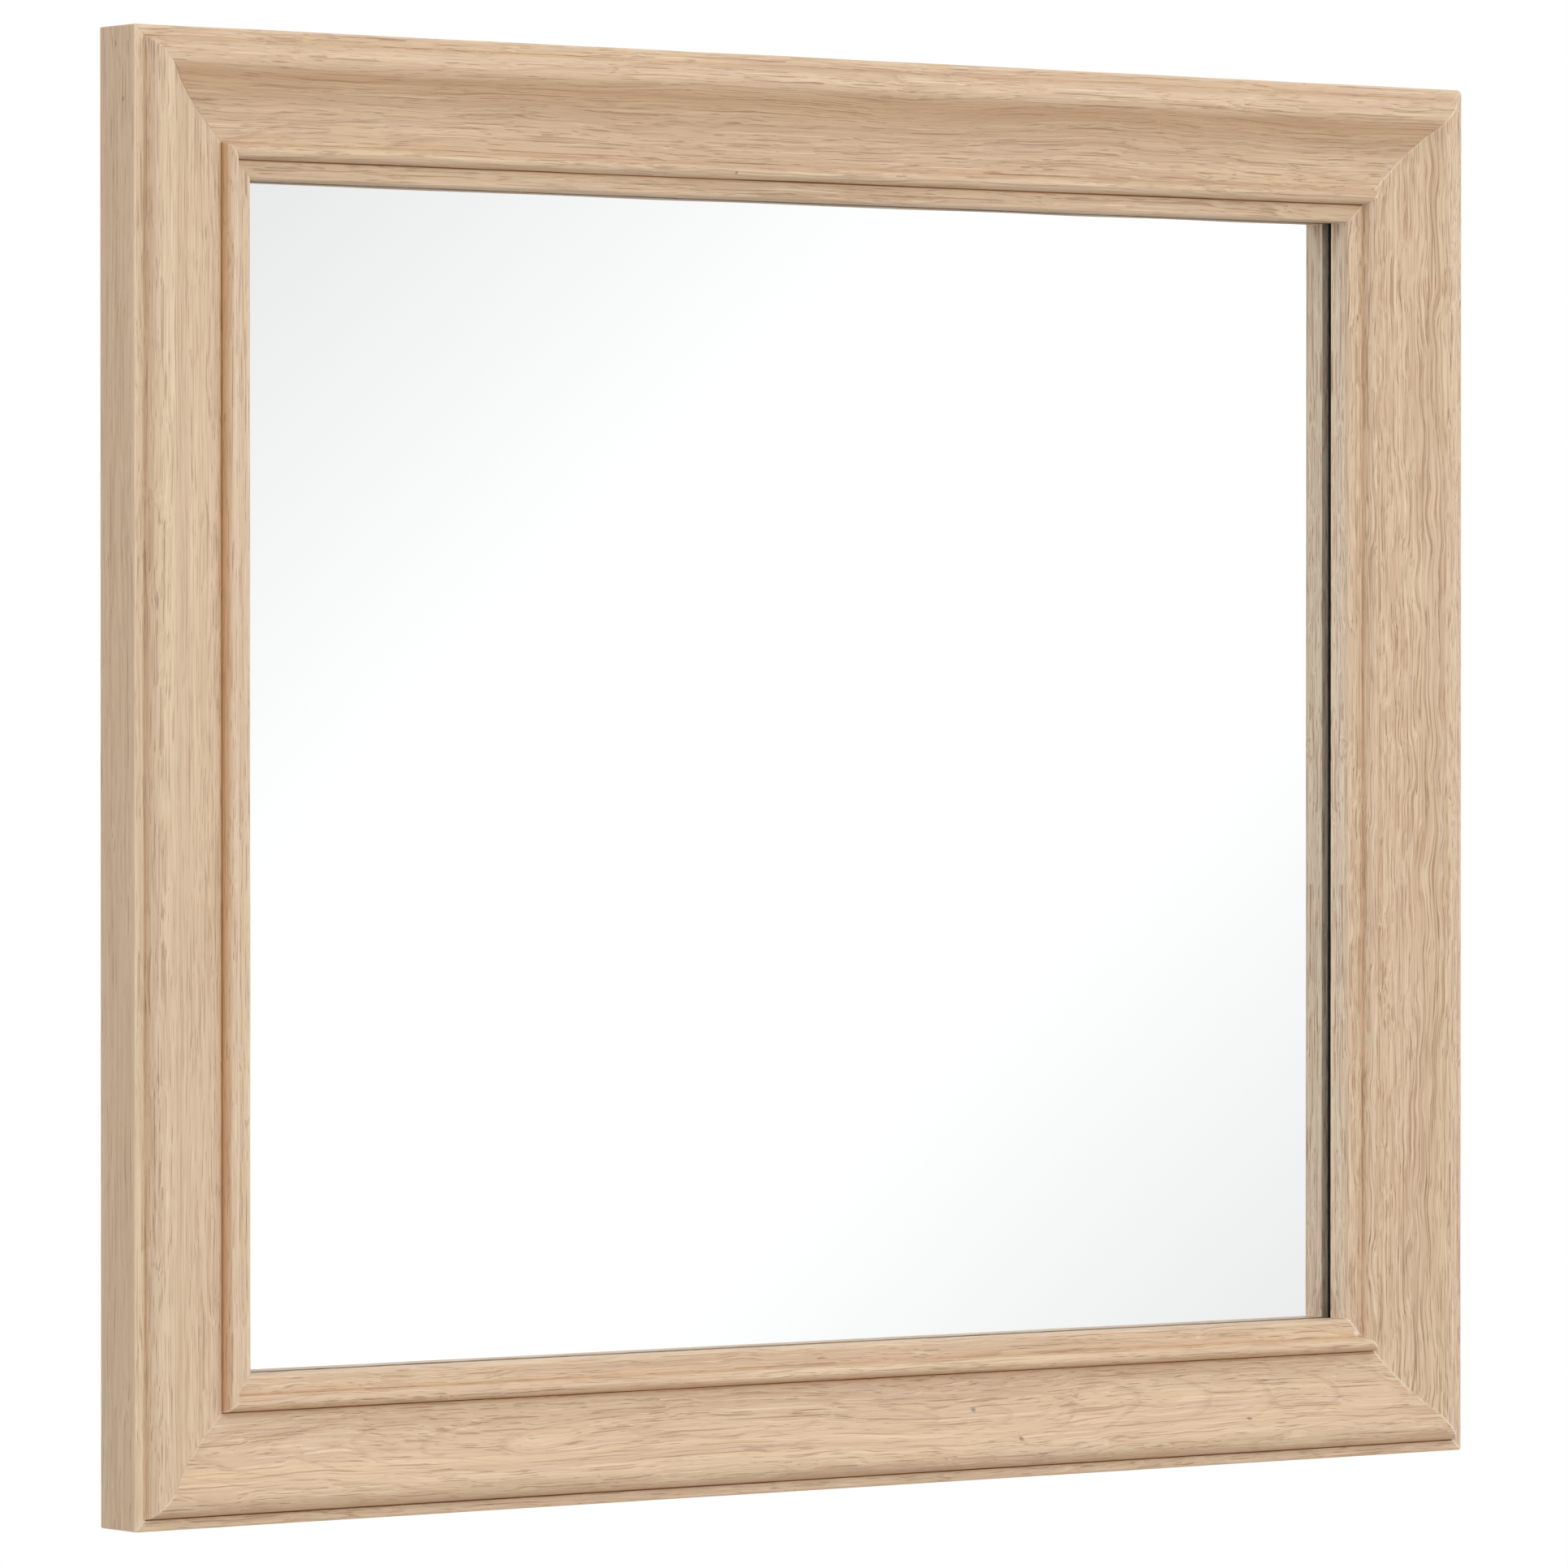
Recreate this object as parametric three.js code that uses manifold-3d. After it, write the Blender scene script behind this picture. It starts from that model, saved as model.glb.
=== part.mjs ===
// Oak framed wall mirror with a mitred moulding, a back board and two D-ring hangers.
// Millimetres. +Z is up, the front faces -Y, and the wall is the plane y = 0.
// The origin is on the wall, midway between the two hooks that the mirror hangs on.
import * as THREE from "three";
import { mergeVertices } from "three/addons/utils/BufferGeometryUtils.js";
import Module from "manifold-3d";

const wasm = await Module();
wasm.setup();

// ---------- driving dimensions ----------

// Oak frame
const FRAME_WIDTH = 1040;
const FRAME_HEIGHT = 900;
const MOULDING_WIDTH = 89.5; // from the outer edge to the sight edge
const EDGE_HEIGHT = 38; // the frame's side face, from its back to the outer fillet
const EDGE_ARRIS = 0.8;
const OUTER_FILLET = 6.6;
const QUIRK_WIDTH = 0.7; // the fine groove at the foot of the outer bead
const QUIRK_DEPTH = 0.7;
const CREST_INSET = 17.5; // the outer bead's highest line, from the outer edge
const CREST_RISE = 10.4; // above the outer fillet
const OGEE_RUN = 11.5; // from the crest to where the curve turns hollow
const OGEE_FALL = 6.2;
const OGEE_SLOPE = 0.95; // fall over run where the curve turns hollow
const COVE_DROP = 9.2; // the cove's inner end, below the outer fillet
const GROOVE_WIDTH = 0.6; // the fine groove at the foot of the inner bead
const GROOVE_DEPTH = 1.3;
const INNER_BEAD_WIDTH = 9.6;
const INNER_BEAD_RISE = 8.4; // above the sight strip
const SIGHT_STRIP_WIDTH = 11.9;
const SIGHT_STRIP_DROP = 9.1; // below the outer fillet
const SIGHT_STRIP_FALL = 0.4; // the strip leans this much towards the glass
const SIGHT_ARRIS = 2.4;

// Rebates at the back of the moulding
const LIP_WIDTH = 10; // wood in front of the glass
const LEDGE_WIDTH = 15.5; // wood that the back board lies on

// Mirror glass and what it stands on
const GLASS_THICKNESS = 4;
const GLASS_CLEARANCE = 3; // around the glass, inside its rebate
const SPACER_THICKNESS = 1.7; // foam tape between the lip and the glass
const SPACER_WIDTH = 4;
const SPACER_INSET = 5; // from the sight edge
const BLOCK_LENGTH = 40;
const BLOCK_INSET = 190; // from the middle of a block to the nearer end of the glass

// Back board
const BOARD_THICKNESS = 3;
const BOARD_RECESS = 0.9; // the board's back lies this far inside the frame's back
const BOARD_CLEARANCE = 1;
const BOARD_SCREW_INSET = 6.5; // from the board's edge
const BOARD_SCREW_END_INSET = 70; // from the board's corners
const BOARD_SCREWS_PER_SIDE = 3;

// Countersunk screws
const SCREW_RADIUS = 1.75;
const SCREW_HEAD_RADIUS = 3.25;
const SCREW_POINT = 3;
const BOARD_SCREW_LENGTH = 16;
const STRAP_SCREW_LENGTH = 25;
const RECESS_LENGTH = 3.4;
const RECESS_WIDTH = 0.9;
const RECESS_DEPTH = 1.1;

// Mitre dowels
const DOWEL_RADIUS = 4;
const DOWEL_LENGTH = 40;
const DOWEL_CHAMFER = 0.8;
const OUTER_DOWEL_INSET = 22; // along the mitre's foot, from the frame's corner
const INNER_DOWEL_INSET = 37.5; // from the sight edge

// D-ring hangers
const RING_WIRE_RADIUS = 1.5;
const RING_HALF_WIDTH = 11.5; // to the middle of the wire
const RING_SIDE = 3; // straight part of each side
const RING_CORNER = 3;
const RING_RUNNING_GAP = 0.3;
const STRAP_THICKNESS = 1.5;
const STRAP_WIDTH = 12;
const STRAP_LENGTH = 42; // from the ring's axis to the far end
const STRAP_HOLES = [12, 34]; // from the ring's axis
const STRAP_CURL_SWEEP = (285 * Math.PI) / 180;
const HANGER_INSET = 34; // from the frame's outer side to the middle of the strap
const HOOK_LINE_DROP = 150; // from the frame's top edge to the hooks

// Wall bumpers
const HANGER_WALL_CLEARANCE = 1.1; // between the hangers and the wall
const BUMPER_FOOT_RADIUS = 8;
const BUMPER_FACE_RADIUS = 6.5;
const BUMPER_INSET = 26; // from both outer sides

const GAP = 0.3; // between pieces that touch
const MITRE_GAP = 0.3;

// ---------- derived places ----------

const SIGHT_STRIP_START = MOULDING_WIDTH - SIGHT_STRIP_WIDTH;
const INNER_BEAD_START = SIGHT_STRIP_START - INNER_BEAD_WIDTH;
const COVE_END = INNER_BEAD_START - GROOVE_WIDTH;
const COVE_HEIGHT = EDGE_HEIGHT - COVE_DROP;
const STRIP_HEIGHT = EDGE_HEIGHT - SIGHT_STRIP_DROP;
const GLASS_REBATE = MOULDING_WIDTH - LIP_WIDTH;
const BOARD_REBATE = GLASS_REBATE - LEDGE_WIDTH;
const BOARD_BACK = BOARD_RECESS; // heights from the frame's back towards its front
const BOARD_FRONT = BOARD_BACK + BOARD_THICKNESS;
const LEDGE_HEIGHT = BOARD_FRONT + GAP;
const GLASS_BACK = LEDGE_HEIGHT;
const GLASS_FRONT = GLASS_BACK + GLASS_THICKNESS;
const SPACER_BACK = GLASS_FRONT + GAP;
const LIP_HEIGHT = SPACER_BACK + SPACER_THICKNESS + GAP;
const BOARD_EDGE = BOARD_REBATE + BOARD_CLEARANCE;
const BOARD_WIDTH = FRAME_WIDTH - 2 * BOARD_EDGE;
const BOARD_HEIGHT = FRAME_HEIGHT - 2 * BOARD_EDGE;
const BOARD_SCREW_LINE = BOARD_EDGE + BOARD_SCREW_INSET;
const GLASS_EDGE = GLASS_REBATE + GLASS_CLEARANCE;
const GLASS_WIDTH = FRAME_WIDTH - 2 * GLASS_EDGE;
const GLASS_HEIGHT = FRAME_HEIGHT - 2 * GLASS_EDGE;
const SCREW_HEAD_HEIGHT = SCREW_HEAD_RADIUS - SCREW_RADIUS;
const DOWEL_HEIGHT = (LEDGE_HEIGHT + COVE_HEIGHT) / 2;
const DOWEL_INSETS = [OUTER_DOWEL_INSET, MOULDING_WIDTH - INNER_DOWEL_INSET];
const CURL_INNER = RING_WIRE_RADIUS + RING_RUNNING_GAP;
const CURL_OUTER = CURL_INNER + STRAP_THICKNESS;
const RING_AXIS_HEIGHT = GAP + CURL_OUTER; // behind the frame's back
const BUMPER_STANDOFF = GAP + 2 * CURL_OUTER + HANGER_WALL_CLEARANCE;
const RING_REACH = RING_CORNER + RING_SIDE + RING_HALF_WIDTH; // axis to the middle of the bow
// The hook bears on the inside of the ring's bow when the ring is turned up.
const RING_AXIS_Z = -(RING_REACH - RING_WIRE_RADIUS);
const FRAME_TOP_Z = HOOK_LINE_DROP;
const FRAME_CENTRE_Z = FRAME_TOP_Z - FRAME_HEIGHT / 2;
const HANGER_X = FRAME_WIDTH / 2 - HANGER_INSET;

// ---------- materials ----------

const oak = (name) => {
  const material = new THREE.MeshStandardMaterial({ color: 0xd0aa80, roughness: 0.62, metalness: 0 });
  material.name = name;
  return material;
};
const silvered = () => new THREE.MeshStandardMaterial({ color: 0xf2f4f3, roughness: 0.03, metalness: 1 });
const fibreboard = () => new THREE.MeshStandardMaterial({ color: 0x9a7650, roughness: 0.85, metalness: 0 });
const beech = () => new THREE.MeshStandardMaterial({ color: 0xd9b78c, roughness: 0.7, metalness: 0 });
const zinc = () => new THREE.MeshStandardMaterial({ color: 0xb9bcbd, roughness: 0.35, metalness: 1 });
const nickel = () => new THREE.MeshStandardMaterial({ color: 0xc9c6be, roughness: 0.25, metalness: 1 });
const rubber = () => new THREE.MeshStandardMaterial({ color: 0x2b2b2b, roughness: 0.9, metalness: 0 });
const softPlastic = () => new THREE.MeshStandardMaterial({ color: 0x3a3a3c, roughness: 0.7, metalness: 0 });
const foam = () => new THREE.MeshStandardMaterial({ color: 0x2e2c2a, roughness: 0.95, metalness: 0 });

// ---------- solids ----------

function solidOf(geometry) {
  const bare = geometry.clone();
  bare.deleteAttribute("normal");
  bare.deleteAttribute("uv");
  const merged = mergeVertices(bare, 1e-4);
  return new wasm.Manifold(
    new wasm.Mesh({
      numProp: 3,
      vertProperties: new Float32Array(merged.attributes.position.array),
      triVerts: new Uint32Array(merged.index.array),
    }),
  );
}

function geometryOf(solid) {
  const mesh = solid.getMesh();
  const geometry = new THREE.BufferGeometry();
  geometry.setAttribute("position", new THREE.BufferAttribute(new Float32Array(mesh.vertProperties), 3));
  geometry.setIndex(new THREE.BufferAttribute(new Uint32Array(mesh.triVerts), 1));
  geometry.computeVertexNormals();
  return geometry;
}

function cut(geometry, cutters) {
  let solid = solidOf(geometry);
  for (const cutter of cutters) {
    solid = solid.subtract(solidOf(cutter));
  }
  return geometryOf(solid);
}

function join(geometries) {
  const [first, ...others] = geometries.map(solidOf);
  return geometryOf(others.reduce((whole, solid) => whole.add(solid), first));
}

// Turns a geometry drawn in its own x, y and depth to lie along three given directions.
function laid(geometry, alongX, alongY, alongDepth) {
  const turn = new THREE.Matrix4().makeBasis(alongX, alongY, alongDepth);
  return geometry.applyMatrix4(turn);
}

const X = new THREE.Vector3(1, 0, 0);
const Y = new THREE.Vector3(0, 1, 0);
const Z = new THREE.Vector3(0, 0, 1);

// ---------- moulding ----------

// Section across the moulding: x runs in from the outer edge, y runs forward from the frame's back.
function mouldingSection() {
  const quirkEnd = OUTER_FILLET + QUIRK_WIDTH;
  const quirkFloor = EDGE_HEIGHT - QUIRK_DEPTH;
  const crest = EDGE_HEIGHT + CREST_RISE;
  const turnX = CREST_INSET + OGEE_RUN;
  const turnY = crest - OGEE_FALL;
  const coveFall = turnY - COVE_HEIGHT;
  const beadMiddle = INNER_BEAD_START + INNER_BEAD_WIDTH / 2;

  const section = new THREE.Shape();
  section.moveTo(0, 0);
  section.lineTo(0, EDGE_HEIGHT - EDGE_ARRIS);
  section.lineTo(EDGE_ARRIS, EDGE_HEIGHT);
  section.lineTo(OUTER_FILLET, EDGE_HEIGHT);
  section.lineTo(OUTER_FILLET, quirkFloor);
  section.lineTo(quirkEnd, quirkFloor);
  // Outer bead, a quarter ellipse up to the crest.
  section.absellipse(
    CREST_INSET,
    quirkFloor,
    CREST_INSET - quirkEnd,
    crest - quirkFloor,
    Math.PI,
    Math.PI / 2,
    true,
  );
  // Ogee: over the crest, then down the cove, each half a curve whose handles follow its ends.
  const crestHandle = OGEE_RUN * 0.45;
  const turnHandle = OGEE_RUN * 0.31;
  section.bezierCurveTo(
    CREST_INSET + crestHandle,
    crest,
    turnX - turnHandle,
    turnY + turnHandle * OGEE_SLOPE,
    turnX,
    turnY,
  );
  const hollowHandle = (0.64 * coveFall) / OGEE_SLOPE;
  const floorHandle = (COVE_END - turnX) * 0.45;
  section.bezierCurveTo(
    turnX + hollowHandle,
    turnY - hollowHandle * OGEE_SLOPE,
    COVE_END - floorHandle,
    COVE_HEIGHT + 0.04 * coveFall,
    COVE_END,
    COVE_HEIGHT,
  );
  section.lineTo(COVE_END, COVE_HEIGHT - GROOVE_DEPTH);
  section.lineTo(INNER_BEAD_START, COVE_HEIGHT - GROOVE_DEPTH);
  section.lineTo(INNER_BEAD_START, STRIP_HEIGHT);
  section.absellipse(
    beadMiddle,
    STRIP_HEIGHT,
    INNER_BEAD_WIDTH / 2,
    INNER_BEAD_RISE,
    Math.PI,
    0,
    true,
  );
  const stripEnd = STRIP_HEIGHT - SIGHT_STRIP_FALL;
  section.lineTo(MOULDING_WIDTH - SIGHT_ARRIS, stripEnd);
  section.absarc(MOULDING_WIDTH - SIGHT_ARRIS, stripEnd - SIGHT_ARRIS, SIGHT_ARRIS, Math.PI / 2, 0, true);
  section.lineTo(MOULDING_WIDTH, LIP_HEIGHT);
  section.lineTo(GLASS_REBATE, LIP_HEIGHT);
  section.lineTo(GLASS_REBATE, LEDGE_HEIGHT);
  section.lineTo(BOARD_REBATE, LEDGE_HEIGHT);
  section.lineTo(BOARD_REBATE, 0);
  section.closePath();
  return section;
}

// A length of moulding along x, outer edge at z = 0, back at y = 0, both ends cut at 45 degrees.
function mouldingLength(length) {
  const bar = new THREE.ExtrudeGeometry(mouldingSection(), {
    depth: length,
    bevelEnabled: false,
    curveSegments: 9,
  });
  laid(bar, Z, Y.clone().negate(), X);
  bar.translate(-length / 2, 0, 0);
  const position = bar.attributes.position;
  const pullBack = MITRE_GAP / Math.SQRT2;
  for (let i = 0; i < position.count; i += 1) {
    const end = Math.sign(position.getX(i));
    position.setX(i, end * (length / 2 - position.getZ(i) - pullBack));
  }
  return bar;
}

// A round cutter or peg that crosses one mitre of a length of moulding.
function acrossMitre(geometry, length, inset, end) {
  geometry.rotateZ((-end * Math.PI) / 2);
  geometry.rotateY((-end * Math.PI) / 4);
  geometry.translate(end * (length / 2 - inset), -DOWEL_HEIGHT, inset);
  return geometry;
}

function dowelHoles(length) {
  return DOWEL_INSETS.flatMap((inset) =>
    [-1, 1].map((end) =>
      acrossMitre(
        new THREE.CylinderGeometry(DOWEL_RADIUS + GAP, DOWEL_RADIUS + GAP, DOWEL_LENGTH + 2 * GAP, 16),
        length,
        inset,
        end,
      ),
    ),
  );
}

// Pilot hole in the wood for a screw whose head lies at headY, open at the frame's back.
function pilotHole(x, z, headY, length) {
  const tip = headY - length - GAP;
  const mouth = 1;
  const hole = new THREE.CylinderGeometry(SCREW_RADIUS + GAP, SCREW_RADIUS + GAP, mouth - tip, 12);
  hole.translate(x, (mouth + tip) / 2, z);
  return hole;
}

function evenly(count, from, to) {
  return Array.from({ length: count }, (_, i) => from + ((to - from) * i) / (count - 1));
}

function boardScrewPlaces(boardLength) {
  const reach = boardLength / 2 - BOARD_SCREW_END_INSET;
  return evenly(BOARD_SCREWS_PER_SIDE, -reach, reach);
}

// hangerAt is the ring axis's place along the length, and strapWay the way the strap runs from it.
function frameLength(length, boardLength, hangerAt, strapWay) {
  const holes = dowelHoles(length);
  for (const x of boardScrewPlaces(boardLength)) {
    holes.push(pilotHole(x, BOARD_SCREW_LINE, -BOARD_BACK, BOARD_SCREW_LENGTH));
  }
  if (strapWay !== 0) {
    for (const along of STRAP_HOLES) {
      const x = hangerAt + strapWay * along;
      holes.push(pilotHole(x, HANGER_INSET, GAP + STRAP_THICKNESS, STRAP_SCREW_LENGTH));
    }
  }
  return cut(mouldingLength(length), holes);
}

// ---------- small pieces ----------

function dowel() {
  const half = DOWEL_LENGTH / 2;
  const outline = [
    new THREE.Vector2(0, -half),
    new THREE.Vector2(DOWEL_RADIUS - DOWEL_CHAMFER, -half),
    new THREE.Vector2(DOWEL_RADIUS, -half + DOWEL_CHAMFER),
    new THREE.Vector2(DOWEL_RADIUS, half - DOWEL_CHAMFER),
    new THREE.Vector2(DOWEL_RADIUS - DOWEL_CHAMFER, half),
    new THREE.Vector2(0, half),
  ];
  return new THREE.LatheGeometry(outline, 12);
}

// Countersunk screw along -y, its head's flat face at y = 0, with a cross recess.
function screw(length) {
  const outline = [
    new THREE.Vector2(0, -length),
    new THREE.Vector2(SCREW_RADIUS, -length + SCREW_POINT),
    new THREE.Vector2(SCREW_RADIUS, -SCREW_HEAD_HEIGHT),
    new THREE.Vector2(SCREW_HEAD_RADIUS, 0),
    new THREE.Vector2(0, 0),
  ];
  const recess = [
    new THREE.BoxGeometry(RECESS_LENGTH, 2 * RECESS_DEPTH, RECESS_WIDTH),
    new THREE.BoxGeometry(RECESS_WIDTH, 2 * RECESS_DEPTH, RECESS_LENGTH),
  ];
  return cut(new THREE.LatheGeometry(outline, 12), recess);
}

// Countersunk through hole with its wide mouth at y = 0, for a plate below that plane.
function countersink(thickness) {
  const overrun = 1;
  const mouth = SCREW_HEAD_RADIUS + GAP;
  const bore = SCREW_RADIUS + GAP;
  const outline = [
    new THREE.Vector2(0, -thickness - overrun),
    new THREE.Vector2(bore, -thickness - overrun),
    new THREE.Vector2(bore, -SCREW_HEAD_HEIGHT),
    new THREE.Vector2(mouth, 0),
    new THREE.Vector2(mouth, overrun),
    new THREE.Vector2(0, overrun),
  ];
  return new THREE.LatheGeometry(outline, 12);
}

function backBoard() {
  const board = new THREE.BoxGeometry(BOARD_WIDTH, BOARD_THICKNESS, BOARD_HEIGHT);
  board.translate(0, -(BOARD_FRONT + BOARD_BACK) / 2, 0);
  const holes = boardScrewSpots().map(([x, z]) =>
    countersink(BOARD_THICKNESS).translate(x, -BOARD_BACK, z),
  );
  return cut(board, holes);
}

// The board screws' places round the board, from its middle.
function boardScrewSpots() {
  const halfWidth = FRAME_WIDTH / 2 - BOARD_SCREW_LINE;
  const halfHeight = FRAME_HEIGHT / 2 - BOARD_SCREW_LINE;
  const across = boardScrewPlaces(BOARD_WIDTH);
  const upward = boardScrewPlaces(BOARD_HEIGHT);
  return [
    ...across.map((x) => [x, halfHeight]),
    ...across.map((x) => [x, -halfHeight]),
    ...upward.map((z) => [-halfWidth, z]),
    ...upward.map((z) => [halfWidth, z]),
  ];
}

// Strap hanger: ring axis along x through the origin, strap down -z, the wood's face in front of it.
function strapHanger() {
  const curl = new THREE.Shape();
  const start = -Math.PI / 2;
  const end = start + STRAP_CURL_SWEEP;
  curl.absarc(0, 0, CURL_OUTER, start, end, false);
  curl.absarc(0, 0, CURL_INNER, end, start, true);
  curl.closePath();
  const rolled = new THREE.ExtrudeGeometry(curl, {
    depth: STRAP_WIDTH,
    bevelEnabled: false,
    curveSegments: 18,
  });
  laid(rolled, Z, Y, X.clone().negate());
  rolled.translate(STRAP_WIDTH / 2, 0, 0);

  const half = STRAP_WIDTH / 2;
  const outline = new THREE.Shape();
  outline.moveTo(half, 0);
  outline.lineTo(-half, 0);
  outline.lineTo(-half, -STRAP_LENGTH + half);
  outline.absarc(0, -STRAP_LENGTH + half, half, Math.PI, 2 * Math.PI, false);
  outline.closePath();
  const plate = new THREE.ExtrudeGeometry(outline, {
    depth: STRAP_THICKNESS,
    bevelEnabled: false,
    curveSegments: 8,
  });
  laid(plate, X, Z, Y.clone().negate());
  plate.translate(0, -CURL_INNER, 0);

  const holes = STRAP_HOLES.map((along) =>
    countersink(STRAP_THICKNESS).translate(0, -CURL_INNER, -along),
  );
  return cut(join([plate, rolled]), holes);
}

// D-ring of round wire: its straight bar on the x axis, its bow hanging down -z.
function dRing() {
  const side = RING_HALF_WIDTH;
  const corner = RING_CORNER;
  const bowZ = -(corner + RING_SIDE);
  const at = (x, z) => new THREE.Vector3(x, 0, z);
  const wire = new THREE.CurvePath();
  const arc = (fromX, fromZ, midX, midZ, toX, toZ) =>
    new THREE.QuadraticBezierCurve3(at(fromX, fromZ), at(midX, midZ), at(toX, toZ));
  const kappa = 0.5523 * side; // makes each quarter of the bow round
  wire.add(new THREE.LineCurve3(at(-side + corner, 0), at(side - corner, 0)));
  wire.add(arc(side - corner, 0, side, 0, side, -corner));
  wire.add(new THREE.LineCurve3(at(side, -corner), at(side, bowZ)));
  const low = bowZ - side;
  wire.add(
    new THREE.CubicBezierCurve3(at(side, bowZ), at(side, bowZ - kappa), at(kappa, low), at(0, low)),
  );
  wire.add(
    new THREE.CubicBezierCurve3(at(0, low), at(-kappa, low), at(-side, bowZ - kappa), at(-side, bowZ)),
  );
  wire.add(new THREE.LineCurve3(at(-side, bowZ), at(-side, -corner)));
  wire.add(arc(-side, -corner, -side, 0, -side + corner, 0));
  return new THREE.TubeGeometry(wire, 44, RING_WIRE_RADIUS, 8, true);
}

function bumper() {
  const height = BUMPER_STANDOFF - GAP;
  const pad = new THREE.CylinderGeometry(BUMPER_FACE_RADIUS, BUMPER_FOOT_RADIUS, height, 24);
  return pad.translate(0, GAP + height / 2, 0);
}

// ---------- assembly ----------

const wallMirror = new THREE.Group();
wallMirror.name = "wall_mirror";

// Everything below is placed from the middle of the frame's back.
const frame = new THREE.Group();
frame.position.set(0, -BUMPER_STANDOFF, FRAME_CENTRE_Z);
wallMirror.add(frame);

function place(name, geometry, material, x = 0, y = 0, z = 0, turn = 0) {
  const mesh = new THREE.Mesh(geometry, material);
  mesh.name = name;
  mesh.position.set(x, y, z);
  mesh.rotation.y = turn;
  frame.add(mesh);
  return mesh;
}

const halfWidth = FRAME_WIDTH / 2;
const halfHeight = FRAME_HEIGHT / 2;
const ringAxisUp = RING_AXIS_Z - FRAME_CENTRE_Z; // above the frame's middle

place("bottom_rail", frameLength(FRAME_WIDTH, BOARD_WIDTH, 0, 0), oak("oak_bottom"), 0, 0, -halfHeight, 0);
place("top_rail", frameLength(FRAME_WIDTH, BOARD_WIDTH, 0, 0), oak("oak_top"), 0, 0, halfHeight, Math.PI);
place(
  "left_stile",
  frameLength(FRAME_HEIGHT, BOARD_HEIGHT, -ringAxisUp, 1),
  oak("oak_left"),
  -halfWidth,
  0,
  0,
  Math.PI / 2,
);
place(
  "right_stile",
  frameLength(FRAME_HEIGHT, BOARD_HEIGHT, ringAxisUp, -1),
  oak("oak_right"),
  halfWidth,
  0,
  0,
  -Math.PI / 2,
);

// Dowels lie square to each mitre.
for (const [side, sideName] of [[-1, "left"], [1, "right"]]) {
  for (const [level, levelName] of [[1, "top"], [-1, "bottom"]]) {
    DOWEL_INSETS.forEach((inset, i) => {
      const peg = dowel().rotateZ(Math.PI / 2).rotateY((side * level * Math.PI) / 4);
      const order = i === 0 ? "outer" : "inner";
      place(
        `dowel_${levelName}_${sideName}_${order}`,
        peg,
        beech(),
        side * (halfWidth - inset),
        -DOWEL_HEIGHT,
        level * (halfHeight - inset),
      );
    });
  }
}

const glass = new THREE.BoxGeometry(GLASS_WIDTH, GLASS_THICKNESS, GLASS_HEIGHT);
place("mirror_glass", glass, silvered(), 0, -(GLASS_BACK + GLASS_FRONT) / 2, 0);

const blockHeight = GLASS_CLEARANCE - 2 * GAP;
for (const [side, sideName] of [[-1, "left"], [1, "right"]]) {
  const block = new THREE.BoxGeometry(BLOCK_LENGTH, GLASS_THICKNESS - GAP, blockHeight);
  place(
    `setting_block_${sideName}`,
    block,
    softPlastic(),
    side * (GLASS_WIDTH / 2 - BLOCK_INSET),
    -(GLASS_BACK + GLASS_FRONT) / 2,
    -halfHeight + GLASS_REBATE + GAP + blockHeight / 2,
  );
}

// Spacers: one strip along each side of the glass, the upright ones between the level ones.
const spacerOuter = MOULDING_WIDTH - SPACER_INSET - SPACER_WIDTH;
const spacerMiddle = spacerOuter + SPACER_WIDTH / 2;
const spacerHeight = -(SPACER_BACK + SPACER_THICKNESS / 2);
const levelLength = FRAME_WIDTH - 2 * spacerOuter;
const uprightLength = FRAME_HEIGHT - 2 * (spacerOuter + SPACER_WIDTH + GAP);
for (const [level, levelName] of [[1, "top"], [-1, "bottom"]]) {
  const strip = new THREE.BoxGeometry(levelLength, SPACER_THICKNESS, SPACER_WIDTH);
  place(`spacer_${levelName}`, strip, foam(), 0, spacerHeight, level * (halfHeight - spacerMiddle));
}
for (const [side, sideName] of [[-1, "left"], [1, "right"]]) {
  const strip = new THREE.BoxGeometry(SPACER_WIDTH, SPACER_THICKNESS, uprightLength);
  place(`spacer_${sideName}`, strip, foam(), side * (halfWidth - spacerMiddle), spacerHeight, 0);
}

place("back_board", backBoard(), fibreboard());
boardScrewSpots().forEach(([x, z], i) => {
  const number = String(i + 1).padStart(2, "0");
  place(`board_screw_${number}`, screw(BOARD_SCREW_LENGTH), zinc(), x, -BOARD_BACK, z);
});

for (const [side, sideName] of [[-1, "left"], [1, "right"]]) {
  const x = side * HANGER_X;
  place(`strap_hanger_${sideName}`, strapHanger(), nickel(), x, RING_AXIS_HEIGHT, ringAxisUp);
  place(`d_ring_${sideName}`, dRing(), nickel(), x, RING_AXIS_HEIGHT, ringAxisUp);
  STRAP_HOLES.forEach((along, i) => {
    const order = i === 0 ? "upper" : "lower";
    place(
      `strap_screw_${sideName}_${order}`,
      screw(STRAP_SCREW_LENGTH),
      zinc(),
      x,
      GAP + STRAP_THICKNESS,
      ringAxisUp - along,
    );
  });
}

for (const [side, sideName] of [[-1, "left"], [1, "right"]]) {
  for (const [level, levelName] of [[1, "top"], [-1, "bottom"]]) {
    place(
      `bumper_${levelName}_${sideName}`,
      bumper(),
      rubber(),
      side * (halfWidth - BUMPER_INSET),
      0,
      level * (halfHeight - BUMPER_INSET),
    );
  }
}

export default wallMirror;
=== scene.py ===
"""Oak framed wall mirror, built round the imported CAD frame. Metres, +Z up, the front faces -Y."""

import math
from types import SimpleNamespace

import bmesh
import bpy
from mathutils import Matrix, Vector, noise


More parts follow.
